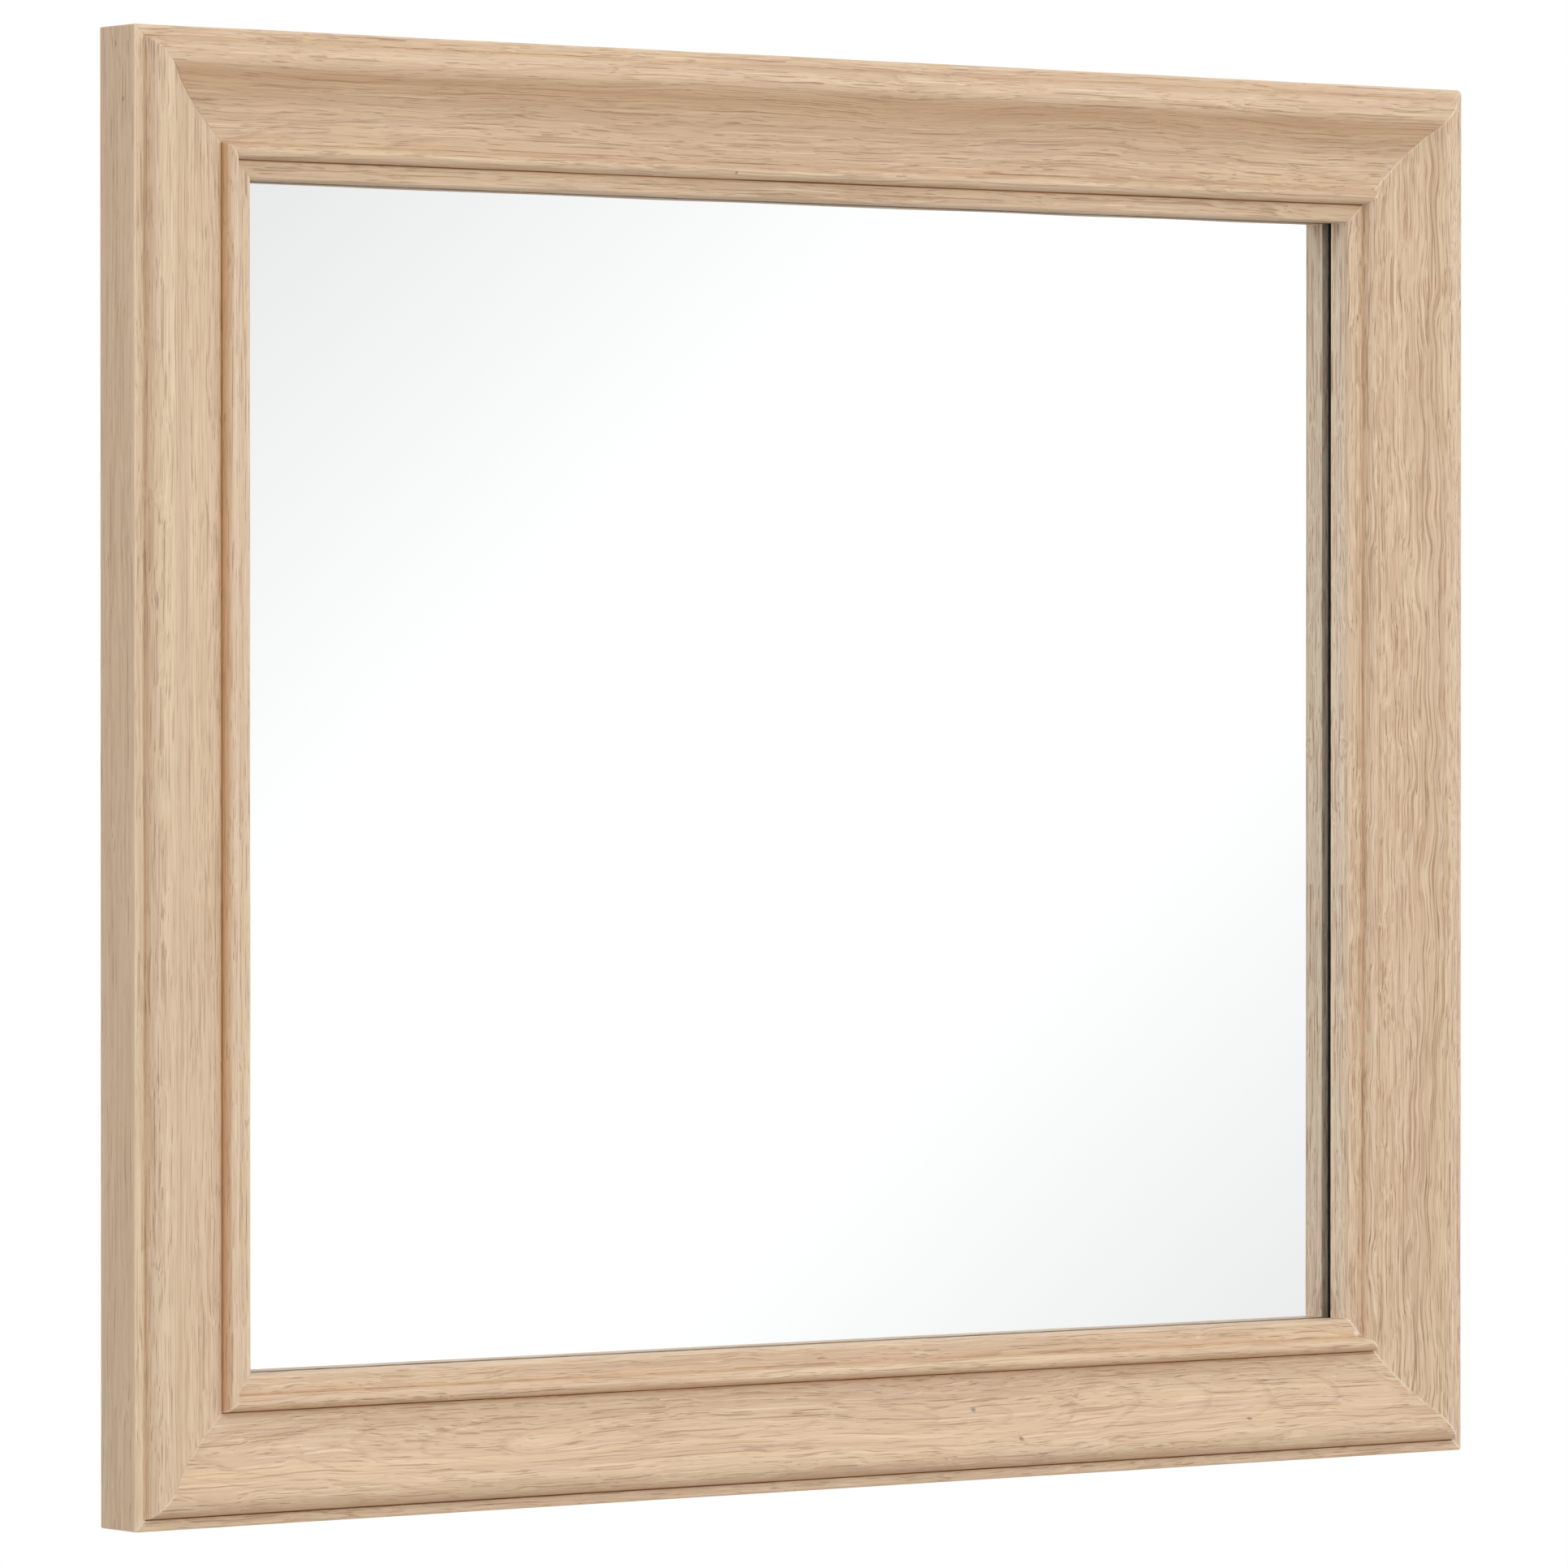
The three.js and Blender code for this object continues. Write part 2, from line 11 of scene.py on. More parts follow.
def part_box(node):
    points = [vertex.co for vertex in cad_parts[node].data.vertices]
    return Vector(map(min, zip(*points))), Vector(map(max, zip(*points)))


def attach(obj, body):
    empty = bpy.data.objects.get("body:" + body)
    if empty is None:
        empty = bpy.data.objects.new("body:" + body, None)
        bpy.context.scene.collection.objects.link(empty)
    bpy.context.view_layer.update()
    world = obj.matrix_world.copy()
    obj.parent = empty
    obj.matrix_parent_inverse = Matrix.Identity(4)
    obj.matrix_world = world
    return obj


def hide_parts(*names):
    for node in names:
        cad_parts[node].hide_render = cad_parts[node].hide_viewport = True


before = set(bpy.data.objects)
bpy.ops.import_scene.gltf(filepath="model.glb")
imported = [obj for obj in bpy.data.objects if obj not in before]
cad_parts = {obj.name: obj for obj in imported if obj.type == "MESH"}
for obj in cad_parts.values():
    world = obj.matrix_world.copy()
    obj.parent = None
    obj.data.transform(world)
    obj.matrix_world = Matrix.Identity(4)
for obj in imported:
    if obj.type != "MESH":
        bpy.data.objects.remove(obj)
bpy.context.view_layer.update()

MM = 0.001
ROOT = "frame"

# ---------- camera ----------

CAMERA_PLACE = (-3.54758, -4.78134, -0.25165)
CAMERA_TURN = math.radians(36.542)  # from looking straight at the mirror, towards its right
CAMERA_PITCH = math.radians(-0.527)
CAMERA_LENS = 215.91  # mm, on a sensor 36 mm wide


def direction(turn, pitch):
    """Unit vector at an angle round Z from +Y, and above the horizon."""
    level = math.cos(pitch)
    return Vector((math.sin(turn) * level, math.cos(turn) * level, math.sin(pitch)))


def add_camera():
    data = bpy.data.cameras.new("camera")
    data.sensor_width = 36.0
    data.lens = CAMERA_LENS
    data.clip_start = 0.1
    data.clip_end = 60.0
    camera = bpy.data.objects.new("camera", data)
    camera.location = CAMERA_PLACE
    camera.rotation_mode = "QUATERNION"
    camera.rotation_quaternion = direction(CAMERA_TURN, CAMERA_PITCH).to_track_quat("-Z", "Y")
    bpy.context.scene.collection.objects.link(camera)
    bpy.context.scene.camera = camera


add_camera()

# ---------- places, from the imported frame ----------

left_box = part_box("left_stile")
right_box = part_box("right_stile")
bottom_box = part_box("bottom_rail")
top_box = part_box("top_rail")
FRAME_LEFT = left_box[0].x
FRAME_RIGHT = right_box[1].x
FRAME_BOTTOM = bottom_box[0].z
FRAME_TOP = top_box[1].z
FRAME_BACK = top_box[1].y
FRAME_FRONT = top_box[0].y
MOULDING_WIDTH = (top_box[1].z - top_box[0].z) / MM
FRAME_WIDTH = FRAME_RIGHT - FRAME_LEFT
FRAME_HEIGHT = FRAME_TOP - FRAME_BOTTOM
FRAME_MIDDLE = Vector(((FRAME_LEFT + FRAME_RIGHT) / 2, FRAME_BACK, (FRAME_BOTTOM + FRAME_TOP) / 2))

# ---------- node helpers ----------


def linear(red, green, blue):
    """An 8-bit display colour as a linear RGBA one."""

    def channel(value):
        share = value / 255
        return share / 12.92 if share <= 0.04045 else ((share + 0.055) / 1.055) ** 2.4

    return (channel(red), channel(green), channel(blue), 1.0)


class Graph:
    """Short calls that add and link the nodes of one material or world."""

    def __init__(self, owner):
        owner.use_nodes = True
        self.tree = owner.node_tree
        self.tree.nodes.clear()

    def node(self, kind, inputs=None, **settings):
        made = self.tree.nodes.new(kind)
        for key, value in settings.items():
            setattr(made, key, value)
        for key, value in (inputs or {}).items():
            self.put(made.inputs[key], value)
        return made

    def put(self, socket, value):
        if isinstance(value, bpy.types.NodeSocket):
            self.tree.links.new(value, socket)
        else:
            socket.default_value = value

    def math(self, operation, first, second=0.0):
        return self.node("ShaderNodeMath", {0: first, 1: second}, operation=operation).outputs[0]

    def vector(self, operation, first, second):
        return self.node("ShaderNodeVectorMath", {0: first, 1: second}, operation=operation).outputs[0]

    def scaled(self, place, factors, offset=(0.0, 0.0, 0.0)):
        node = self.node("ShaderNodeVectorMath", {0: place, 1: factors, 2: offset}, operation="MULTIPLY_ADD")
        return node.outputs[0]

    def dot(self, first, second):
        node = self.node("ShaderNodeVectorMath", {0: first, 1: second}, operation="DOT_PRODUCT")
        return node.outputs["Value"]

    def length(self, vector):
        return self.node("ShaderNodeVectorMath", {0: vector}, operation="LENGTH").outputs["Value"]

    def separate(self, vector):
        return self.node("ShaderNodeSeparateXYZ", {0: vector}).outputs

    def noise(self, place, scale=1.0, detail=2.0, roughness=0.5):
        inputs = {"Vector": place, "Scale": scale, "Detail": detail, "Roughness": roughness}
        return self.node("ShaderNodeTexNoise", inputs).outputs["Fac"]

    def span(self, value, low, high, to_low=0.0, to_high=1.0, smooth=False):
        inputs = {
            "Value": value,
            "From Min": low,
            "From Max": high,
            "To Min": to_low,
            "To Max": to_high,
        }
        kind = "SMOOTHSTEP" if smooth else "LINEAR"
        return self.node("ShaderNodeMapRange", inputs, interpolation_type=kind, clamp=True).outputs[0]

    def mix(self, share, first, second, blend="MIX"):
        node = self.node("ShaderNodeMix", data_type="RGBA", blend_type=blend)
        for index, value in ((0, share), (6, first), (7, second)):
            self.put(node.inputs[index], value)
        return node.outputs[2]

    def attribute(self, name):
        return self.node("ShaderNodeAttribute", attribute_name=name).outputs["Fac"]

    def bump(self, height, distance, strength):
        inputs = {"Height": height, "Distance": distance, "Strength": strength}
        return self.node("ShaderNodeBump", inputs).outputs[0]

    def surface(self, inputs):
        shader = self.node("ShaderNodeBsdfPrincipled", inputs)
        self.node("ShaderNodeOutputMaterial", {"Surface": shader.outputs[0]})


def new_material(name):
    material = bpy.data.materials.new(name)
    return material, Graph(material)


def object_place(graph):
    return graph.node("ShaderNodeTexCoord").outputs["Object"]


# ---------- light and floor ----------

FRONT_LIGHT = 1.0  # a broad soft light in front
FRONT_LEAN = (0.03, 0.0, 0.12)  # how much brighter it is to the right and above
FRONT_EDGE = 0.2  # softness of its border with the room behind
ROOM_LIGHT = (0.13, 0.08, 0.03, 1.0)  # warm light from all round
BACK_LIGHT = 0.9
KEY = 0.08  # a weak lamp above on the right
KEY_WAY = Vector((0.30, -0.80, 0.52)).normalized()
KEY_DISTANCE = 4.6
KEY_SIZE = 2.6
# The mirror shows a white studio that greys a little to both sides of one slanting line.
SHEEN_WAY = (4.82, 3.57, -6.0)
SHEEN_OFFSET = -0.055
SHEEN_BAND = (0.12, 0.85, 1.26, 0.89)  # from and to, away from that line, and the light at each
SHEEN_RIM = (1.3, 3.0, 0.0, 0.65)  # likewise, added outside what the mirror shows to the camera


def diffuse_light(graph, way):
    """What lights the wood: a broad front light, a warm dark room and a light from behind."""
    ahead = graph.math("MULTIPLY", graph.separate(way)[1], -1.0)
    lean = graph.math("ADD", graph.dot(way, FRONT_LEAN), 1.0)
    front = graph.span(ahead, -FRONT_EDGE, FRONT_EDGE, smooth=True)
    front = graph.math("MULTIPLY", graph.math("MULTIPLY", front, lean), FRONT_LIGHT)
    behind = graph.math("MAXIMUM", graph.math("MULTIPLY", ahead, -1.0), 0.0)
    behind = graph.math("MULTIPLY", graph.math("POWER", behind, 3.0), BACK_LIGHT)
    return graph.mix(1.0, ROOM_LIGHT, graph.math("ADD", front, behind), "ADD")


def sheen_light(graph, way):
    """What the mirror shows."""
    across = graph.math("ABSOLUTE", graph.math("ADD", graph.dot(way, SHEEN_WAY), SHEEN_OFFSET))
    return graph.math("ADD", graph.span(across, *SHEEN_BAND), graph.span(across, *SHEEN_RIM))


def add_world():
    """A white ground to the camera, one light for the mirror and another for everything else."""
    world = bpy.data.worlds.new("studio")
    bpy.context.scene.world = world
    graph = Graph(world)
    way = graph.node("ShaderNodeTexCoord").outputs["Generated"]
    path = graph.node("ShaderNodeLightPath").outputs
    seen_in_gloss = graph.math("MAXIMUM", path["Is Glossy Ray"], path["Is Transmission Ray"])
    light = graph.mix(seen_in_gloss, diffuse_light(graph, way), sheen_light(graph, way))
    light = graph.mix(path["Is Camera Ray"], light, (1.0, 1.0, 1.0, 1.0))
    background = graph.node("ShaderNodeBackground", {"Color": light})
    graph.node("ShaderNodeOutputWorld", {"Surface": background.outputs[0]})


def add_key():
    data = bpy.data.lights.new("key", "AREA")
    data.shape = "SQUARE"
    data.size = KEY_SIZE
    data.energy = math.pi**2 * KEY * KEY_DISTANCE**2
    light = bpy.data.objects.new("key", data)
    light.location = FRAME_MIDDLE + KEY_WAY * KEY_DISTANCE
    light.rotation_mode = "QUATERNION"
    light.rotation_quaternion = (-KEY_WAY).to_track_quat("-Z", "Y")
    light.visible_camera = False
    light.visible_glossy = False
    light.visible_transmission = False
    bpy.context.scene.collection.objects.link(light)


def link(name, mesh):
    made = bpy.data.objects.new(name, mesh)
    bpy.context.scene.collection.objects.link(made)
    return made


FLOOR_DROP = 1.0  # below the mirror
FLOOR_RADIUS = 8.5
FLOOR_SIDES = 96


def add_floor():
    material, graph = new_material("floor")
    place = object_place(graph)
    mottle = graph.noise(place, 1.6, 4.0)
    colour = graph.mix(mottle, linear(224, 223, 221), linear(230, 229, 227))
    graph.surface({"Base Color": colour, "Roughness": 0.9})
    made = bmesh.new()
    bmesh.ops.create_circle(made, cap_ends=True, segments=FLOOR_SIDES, radius=FLOOR_RADIUS)
    mesh = bpy.data.meshes.new("floor")
    made.to_mesh(mesh)
    made.free()
    mesh.materials.append(material)
    floor = link("floor", mesh)
    floor.location.z = FRAME_BOTTOM - FLOOR_DROP


bpy.context.scene.view_settings.view_transform = "Standard"

add_world()
add_key()
add_floor()

# ---------- oak moulding: its section ----------

# In mm: u runs in from the outer edge and v forward from the frame's back.
EDGE_HEIGHT = 38.0
EDGE_ARRIS = 0.8
OUTER_FILLET = 6.6
QUIRK_WIDTH = 0.7
QUIRK_DEPTH = 0.7
CREST_INSET = 17.5
CREST_HEIGHT = (FRAME_BACK - FRAME_FRONT) / MM
OGEE_RUN = 11.5
OGEE_FALL = 6.2
OGEE_SLOPE = 0.95
COVE_HEIGHT = 28.8
GROOVE_WIDTH = 0.6
GROOVE_DEPTH = 1.3
BEAD_WIDTH = 9.6
BEAD_RISE = 8.4
STRIP_WIDTH = 11.9
STRIP_HEIGHT = 28.9
STRIP_FALL = 0.4
FOOT_LINE = 1.5  # width of the painted shadow line beside the bead
SIGHT_ARRIS = 2.4
LIP_WIDTH = 10.0
LIP_HEIGHT = 10.5
LEDGE_WIDTH = 15.5
LEDGE_HEIGHT = 4.2
SMALL_ARRIS = 0.35
BEAD_STEPS = 26  # points round a quarter of the outer bead
QUIRK_SHADE_STEPS = 18  # how far up that bead the quirk's glaze and painted shade reach
RIM_STEPS = 40  # points round the inner bead
RIM_STEP = 26  # the point of it where its painted highlight is brightest

STRIP_START = MOULDING_WIDTH - STRIP_WIDTH
BEAD_START = STRIP_START - BEAD_WIDTH
COVE_END = BEAD_START - GROOVE_WIDTH
GLASS_REBATE = MOULDING_WIDTH - LIP_WIDTH
BOARD_REBATE = GLASS_REBATE - LEDGE_WIDTH


def straight(start, end, count):
    """Points from start up to, but not including, end."""
    return [
        (start[0] + (end[0] - start[0]) * i / count, start[1] + (end[1] - start[1]) * i / count)
        for i in range(count)
    ]


def ellipse(middle, radii, start, end, count):
    """Points of an arc from the angle start up to and including end, in degrees."""
    points = []
    for i in range(count + 1):
        angle = math.radians(start + (end - start) * i / count)
        points.append((middle[0] + radii[0] * math.cos(angle), middle[1] + radii[1] * math.sin(angle)))
    return points


def bezier(a, b, c, d, count):
    """Points of a cubic curve up to, but not including, d."""
    points = []
    for i in range(count):
        t = i / count
        s = 1 - t
        weights = (s**3, 3 * s * s * t, 3 * s * t * t, t**3)
        points.append(
            tuple(sum(w * p[axis] for w, p in zip(weights, (a, b, c, d))) for axis in (0, 1))
        )
    return points


def marked(pairs, recess=0.0, wear_and_highlight=0.0, pale=0.0):
    """[(u, v, recess, wear, pale)] for one stretch of the section.

    The first share is high in a groove, where glaze and painted shade go; the second is on a rubbed edge,
    which also gets a painted highlight; the third is where the wood is limed most and painted lighter for the
    light the mirror throws on it.
    """
    return [(u, v, recess, wear_and_highlight, pale) for u, v in pairs]


def outer_section(depth, finish_and_light):
    """Side face, fillet, quirk and outer bead, up to the crest."""
    quirk_floor = EDGE_HEIGHT - QUIRK_DEPTH * depth
    quirk_end = OUTER_FILLET + QUIRK_WIDTH
    side_end = EDGE_HEIGHT - EDGE_ARRIS
    fillet_end = (OUTER_FILLET - SMALL_ARRIS, EDGE_HEIGHT)
    inside = (OUTER_FILLET - SMALL_ARRIS, EDGE_HEIGHT - SMALL_ARRIS)
    radii = (CREST_INSET - quirk_end, CREST_HEIGHT - quirk_floor)
    points = marked(straight((0.0, 0.0), (0.0, side_end), 12))
    # Worn arrises and fillet, with painted highlights along them.
    points += marked(ellipse((EDGE_ARRIS, side_end), (EDGE_ARRIS, EDGE_ARRIS), 180, 90, 5), wear_and_highlight=1.0)
    points += marked(straight((EDGE_ARRIS + 0.6, EDGE_HEIGHT), fillet_end, 4), wear_and_highlight=0.35)
    points += marked(ellipse(inside, (SMALL_ARRIS, SMALL_ARRIS), 90, 0, 3), 0.2, 0.6)
    # Glaze and painted shade in the quirk, fading up the outer bead; set strongest where the quirk faces
    # down.
    points += marked([(OUTER_FILLET, quirk_floor), (quirk_end, quirk_floor)], 1.1 * finish_and_light["quirk"])
    bead = ellipse((CREST_INSET, quirk_floor), radii, 180, 90, BEAD_STEPS)[1:]
    for i, pair in enumerate(bead):
        points += marked([pair], 0.75 * finish_and_light["quirk"] * max(0.0, 1.0 - i / QUIRK_SHADE_STEPS))
    return points


def cove_section(depth, finish_and_light):
    """The fall from the crest, the hollow and the groove before the inner bead."""
    crest = (CREST_INSET, CREST_HEIGHT)
    turn = (CREST_INSET + OGEE_RUN, CREST_HEIGHT - OGEE_FALL)
    end = (COVE_END, COVE_HEIGHT)
    cove_fall = turn[1] - COVE_HEIGHT
    turn_handle = 0.31 * OGEE_RUN
    hollow_handle = 0.64 * cove_fall / OGEE_SLOPE
    floor_handle = 0.45 * (COVE_END - turn[0])
    past_crest = (crest[0] + 0.45 * OGEE_RUN, crest[1])
    near_turn = (turn[0] - turn_handle, turn[1] + turn_handle * OGEE_SLOPE)
    past_turn = (turn[0] + hollow_handle, turn[1] - hollow_handle * OGEE_SLOPE)
    near_end = (COVE_END - floor_handle, COVE_HEIGHT + 0.04 * cove_fall)
    points = []
    # Painted shade on the fall below the crest, which faces down on the top rail.
    for i, pair in enumerate(bezier(crest, past_crest, near_turn, turn, 16)[1:]):
        points += marked([pair], finish_and_light["fall"] * min(1.0, i / 10))
    # Glaze and painted shade towards and in the groove before the inner bead, whose outer side lies in shade.
    for i, pair in enumerate(bezier(turn, past_turn, near_end, end, 40)):
        near_groove = max(0.0, (pair[0] - COVE_END + 2.5) / 4.0)
        points += marked([pair], max(finish_and_light["groove"] * near_groove, finish_and_light["fall"] * (1 - i / 26)))
    points += marked([end], 0.7 * finish_and_light["groove"])
    groove_floor = COVE_HEIGHT - GROOVE_DEPTH * depth
    points += marked([(COVE_END, groove_floor), (BEAD_START, groove_floor)], finish_and_light["groove"])
    return points


def inner_section(finish_and_light):
    """The inner bead, the strip and the sight edge."""
    middle = (BEAD_START + BEAD_WIDTH / 2, STRIP_HEIGHT)
    sight = (MOULDING_WIDTH - SIGHT_ARRIS, STRIP_HEIGHT - STRIP_FALL)
    below = sight[1] - SIGHT_ARRIS
    foot_end = (STRIP_START + FOOT_LINE, STRIP_HEIGHT)
    points = []
    # Along the inner bead: glaze and painted shade near the groove, a painted shadow line at its foot by the
    # strip, and, as the rubbed share, a painted highlight along its rim.
    for i, pair in enumerate(ellipse(middle, (BEAD_WIDTH / 2, BEAD_RISE), 180, 0, RIM_STEPS)):
        near_groove = finish_and_light["groove"] * (1.0 - 0.07 * i)
        near_foot = finish_and_light["foot"] * (1.0 - 0.3 * (RIM_STEPS - i))
        rubbed = finish_and_light["rim_highlight"] * max(0.0, 1.0 - abs(i - RIM_STEP) / 5)
        points += marked([pair], max(0.0, near_groove, near_foot), rubbed)
    points += marked([(STRIP_START + 0.4 * FOOT_LINE, STRIP_HEIGHT)], finish_and_light["foot"])
    points += marked(straight(foot_end, sight, 10))
    # The worn sight arris, with a painted highlight.
    points += marked(ellipse((sight[0], below), (SIGHT_ARRIS, SIGHT_ARRIS), 90, 0, 10), wear_and_highlight=0.5)
    # The sight edge is limed and painted lighter, standing in for the light the mirror throws on it.
    edge = straight((MOULDING_WIDTH, below), (MOULDING_WIDTH, LIP_HEIGHT), 8)[1:]
    return points + marked(edge, pale=finish_and_light["sight_liming_and_light"])


def back_section(finish_and_light):
    """The lip before the glass, both rebates and the flat back."""
    corners = (
        (MOULDING_WIDTH, LIP_HEIGHT),
        (GLASS_REBATE, LIP_HEIGHT),
        (GLASS_REBATE, LEDGE_HEIGHT),
        (BOARD_REBATE, LEDGE_HEIGHT),
        (BOARD_REBATE, 0.0),
        (0.0, 0.0),
    )
    points = []
    for start, end, count in zip(corners, corners[1:], (4, 2, 4, 3, 16)):
        # The lip's underside by the glass is limed and painted lighter in the same way.
        limed = finish_and_light["sight_liming_and_light"] if start == corners[0] else 0.0
        points += marked(straight(start, end, count), pale=limed)
    return points


def moulding_section(depth, finish_and_light):
    """The whole section in order, with grooves of a share of their full depth."""
    return (
        outer_section(depth, finish_and_light)
        + cove_section(depth, finish_and_light)
        + inner_section(finish_and_light)
        + back_section(finish_and_light)
    )


def section_normals(section):
    """Unit vectors square to the section at each point, pointing out of the wood."""
    normals = []
    for before, after in zip(section[-1:] + section[:-1], section[1:] + section[:1]):
        along = (after[0] - before[0], after[1] - before[1])
        length = math.hypot(*along) or 1.0
        normals.append((-along[1] / length, along[0] / length))
    return normals


# ---------- oak moulding: its lengths ----------

# Distances from a mitre, in mm, of the cross sections nearest to it.
NEAR_MITRE = (0.02, 0.15, 0.4, 0.8, 1.4, 2.2, 3.4, 5.5, 9.0)
STATION_PITCH = 6.0
MITRE_EASE = 0.16  # how far the wood is rubbed down at the joint
MITRE_EASE_REACH = 0.5
CORNER_REACH = 6.0  # how far in from the outer edge a rounded corner is felt
SANDING_WAVE = 0.10  # how unevenly the wood is sanded
TOP_SANDING_WAVE = 0.45
WAVE_SCALE = (0.011, 0.055, 0.05)  # waves per mm along the piece, across it and up from it
SMOOTH_ANGLE = math.radians(38)


def corner_shift(distance, radius):
    """How far a side's point near the corner moves along and in, where the corner is rounded."""
    if distance >= radius:
        return 0.0, 0.0
    angle = math.pi / 4 * (1 - distance / radius)
    return radius * (1 - math.sin(angle)) - distance, radius * (1 - math.cos(angle))


def rail_stations(half_length):
    """[(from the left mitre, share towards the right mitre)] in order along the rail."""
    reach = NEAR_MITRE[-1]
    count = max(2, round((2 * half_length - 2 * MOULDING_WIDTH - 2 * reach) / STATION_PITCH))
    middle = [(reach, i / count) for i in range(1, count)]
    return [(d, 0.0) for d in NEAR_MITRE] + middle + [(d, 1.0) for d in reversed(NEAR_MITRE)]


def rail_point(point, normal, station, half_length, radii, wave, seed):
    """One point of a rail, in mm: x along it, y towards the wall and z in from the outer edge."""
    u, v = point[0], point[1]
    distance, share = station
    in_mitre = share in (0.0, 1.0)
    along = u + distance
    inward = u
    if in_mitre:
        fade = max(0.0, 1 - u / CORNER_REACH)
        shift = corner_shift(distance, radii[int(share)])
        along += shift[0] * fade
        inward += shift[1] * fade
    left = -half_length + along
    x = left + (2 * half_length - 2 * along) * share
    scale = WAVE_SCALE
    wave_place = Vector((x * scale[0] + seed, u * scale[1], v * scale[2] + 2 * seed))
    lift = wave * noise.noise(wave_place)
    if in_mitre:
        near = max(0.0, 1 - distance / MITRE_EASE_REACH)
        lift = lift * min(1.0, distance / NEAR_MITRE[-1]) - MITRE_EASE * near * near
    if v < LEDGE_HEIGHT + 1 or (u > GLASS_REBATE - 1 and v < LIP_HEIGHT + 1):
        lift = 0.0
    return Vector((x, -(v + normal[1] * lift), inward + normal[0] * lift))


def rail_mesh(name, section, half_length, radii, wave, seed):
    """One mitred length of the moulding, its section repeated at each station."""
    normals = section_normals(section)
    stations = rail_stations(half_length)
    made = bmesh.new()
    layers = [made.verts.layers.float.new(layer) for layer in ("recess", "wear_and_highlight", "pale")]
    rings = []
    for station in stations:
        ring = []
        for point, normal in zip(section, normals):
            place = rail_point(point, normal, station, half_length, radii, wave, seed)
            vertex = made.verts.new(place * MM)
            for layer, value in zip(layers, point[2:]):
                vertex[layer] = value
            ring.append(vertex)
        rings.append(ring)
    count = len(section)
    for first, second in zip(rings, rings[1:]):
        for i in range(count):
            j = (i + 1) % count
            made.faces.new((first[i], second[i], second[j], first[j]))
    made.faces.new(rings[0])
    made.faces.new(reversed(rings[-1]))
    bmesh.ops.recalc_face_normals(made, faces=made.faces)
    mesh = bpy.data.meshes.new(name)
    made.to_mesh(mesh)
    made.free()
    for face in mesh.polygons:
        face.use_smooth = True
    mesh.set_sharp_from_angle(angle=SMOOTH_ANGLE)
    return mesh


# ---------- oak: its material ----------

OAK_BASE = linear(214, 190, 163)
OAK_YELLOW = linear(222, 200, 167)
OAK_PINK = linear(207, 179, 155)
OAK_PALE = linear(228, 208, 182)
OAK_TAN = linear(202, 173, 144)
OAK_PORE = linear(160, 122, 90)
# The next two paint glaze with painted shade in the hollows, the second as the darkest painted shadow lines.
OAK_GLAZE_AND_SHADE = linear(203, 158, 114)
OAK_DEEP_GLAZE_AND_SHADOW = linear(112, 74, 50)
OAK_RING = linear(172, 137, 108)
# Rubbed pale wood: pale grain, worn edges and painted highlights.
OAK_RUBBED_AND_HIGHLIGHT = linear(236, 218, 194)
# Painted shade for the outer side face.
OAK_SIDE_SHADE = linear(204, 172, 134)
# Liming, also used as painted light on the sight edge and lip.
OAK_LIMED_AND_LIT = linear(240, 225, 202)
OAK_GLUE = linear(244, 234, 218)
OAK_PIP = linear(134, 116, 114)


# Noise scales per metre along the piece, through it and across it.
DRIFT_SCALE = (4.5, 16.0, 16.0)
RIPPLE_SCALE = (24.0, 60.0, 60.0)
WOBBLE_SCALE = (7.0, 40.0, 40.0)
BROAD_SCALE = (2.6, 120.0, 120.0)
STREAK_SCALE = (6.0, 430.0, 430.0)
FIBRE_SCALE = (11.0, 1250.0, 1250.0)
PORE_SCALE = (48.0, 1700.0, 1700.0)
PORE_PATCH_SCALE = (16.0, 160.0, 160.0)
LINE_SCALE = (8.0, 900.0, 900.0)
LINE_OFFSET = (3.0, 5.0, 7.0)
GLUE_SCALE = (60.0, 60.0, 60.0)
SEED_STEP = (1.7, 0.31, 0.53)  # metres of noise between one seed and the next
SIDE_FACE = (0.0004, 0.0012)  # metres in from the outer edge, where the side face ends
GLUE_WIDTH = (0.0004, 0.0011)  # metres from the mitre
RELIEF = 0.0003  # metres


def stray(graph, place, grain):
    """How far the fibres lie to one side: a slow drift and a little ripple."""
    drift = graph.noise(graph.scaled(place, DRIFT_SCALE), 1.0, 1.0)
    drift = graph.math("MULTIPLY", graph.math("SUBTRACT", drift, 0.5), grain["drift"])
    ripple = graph.noise(graph.scaled(place, RIPPLE_SCALE), 1.0, 1.0)
    ripple = graph.math("MULTIPLY", graph.math("SUBTRACT", ripple, 0.5), grain["ripple"])
    aside = graph.math("ADD", drift, ripple)
    return graph.node("ShaderNodeCombineXYZ", {"Y": aside, "Z": aside}).outputs[0]


def growth_rings(graph, own, place, sideways, grain):
    """(early wood, late wood) as shares, where the surface cuts the tree's rings at a low angle."""
    across = graph.scaled(own, (grain["taper"], 1.0, 1.0), grain["heart"])
    radius = graph.length(graph.vector("ADD", across, sideways))
    wobble = graph.noise(graph.scaled(place, WOBBLE_SCALE), 1.0, 2.0)
    radius = graph.math("ADD", graph.math("MULTIPLY", radius, 1 / grain["ring"]), wobble)
    share = graph.math("FRACT", radius)
    early = graph.span(share, 0.0, 0.35, 1.0, 0.0, smooth=True)
    late = graph.span(share, 0.8, 0.97, smooth=True)
    return early, graph.math("MULTIPLY", late, graph.span(share, 0.97, 1.0, 1.0, 0.0))


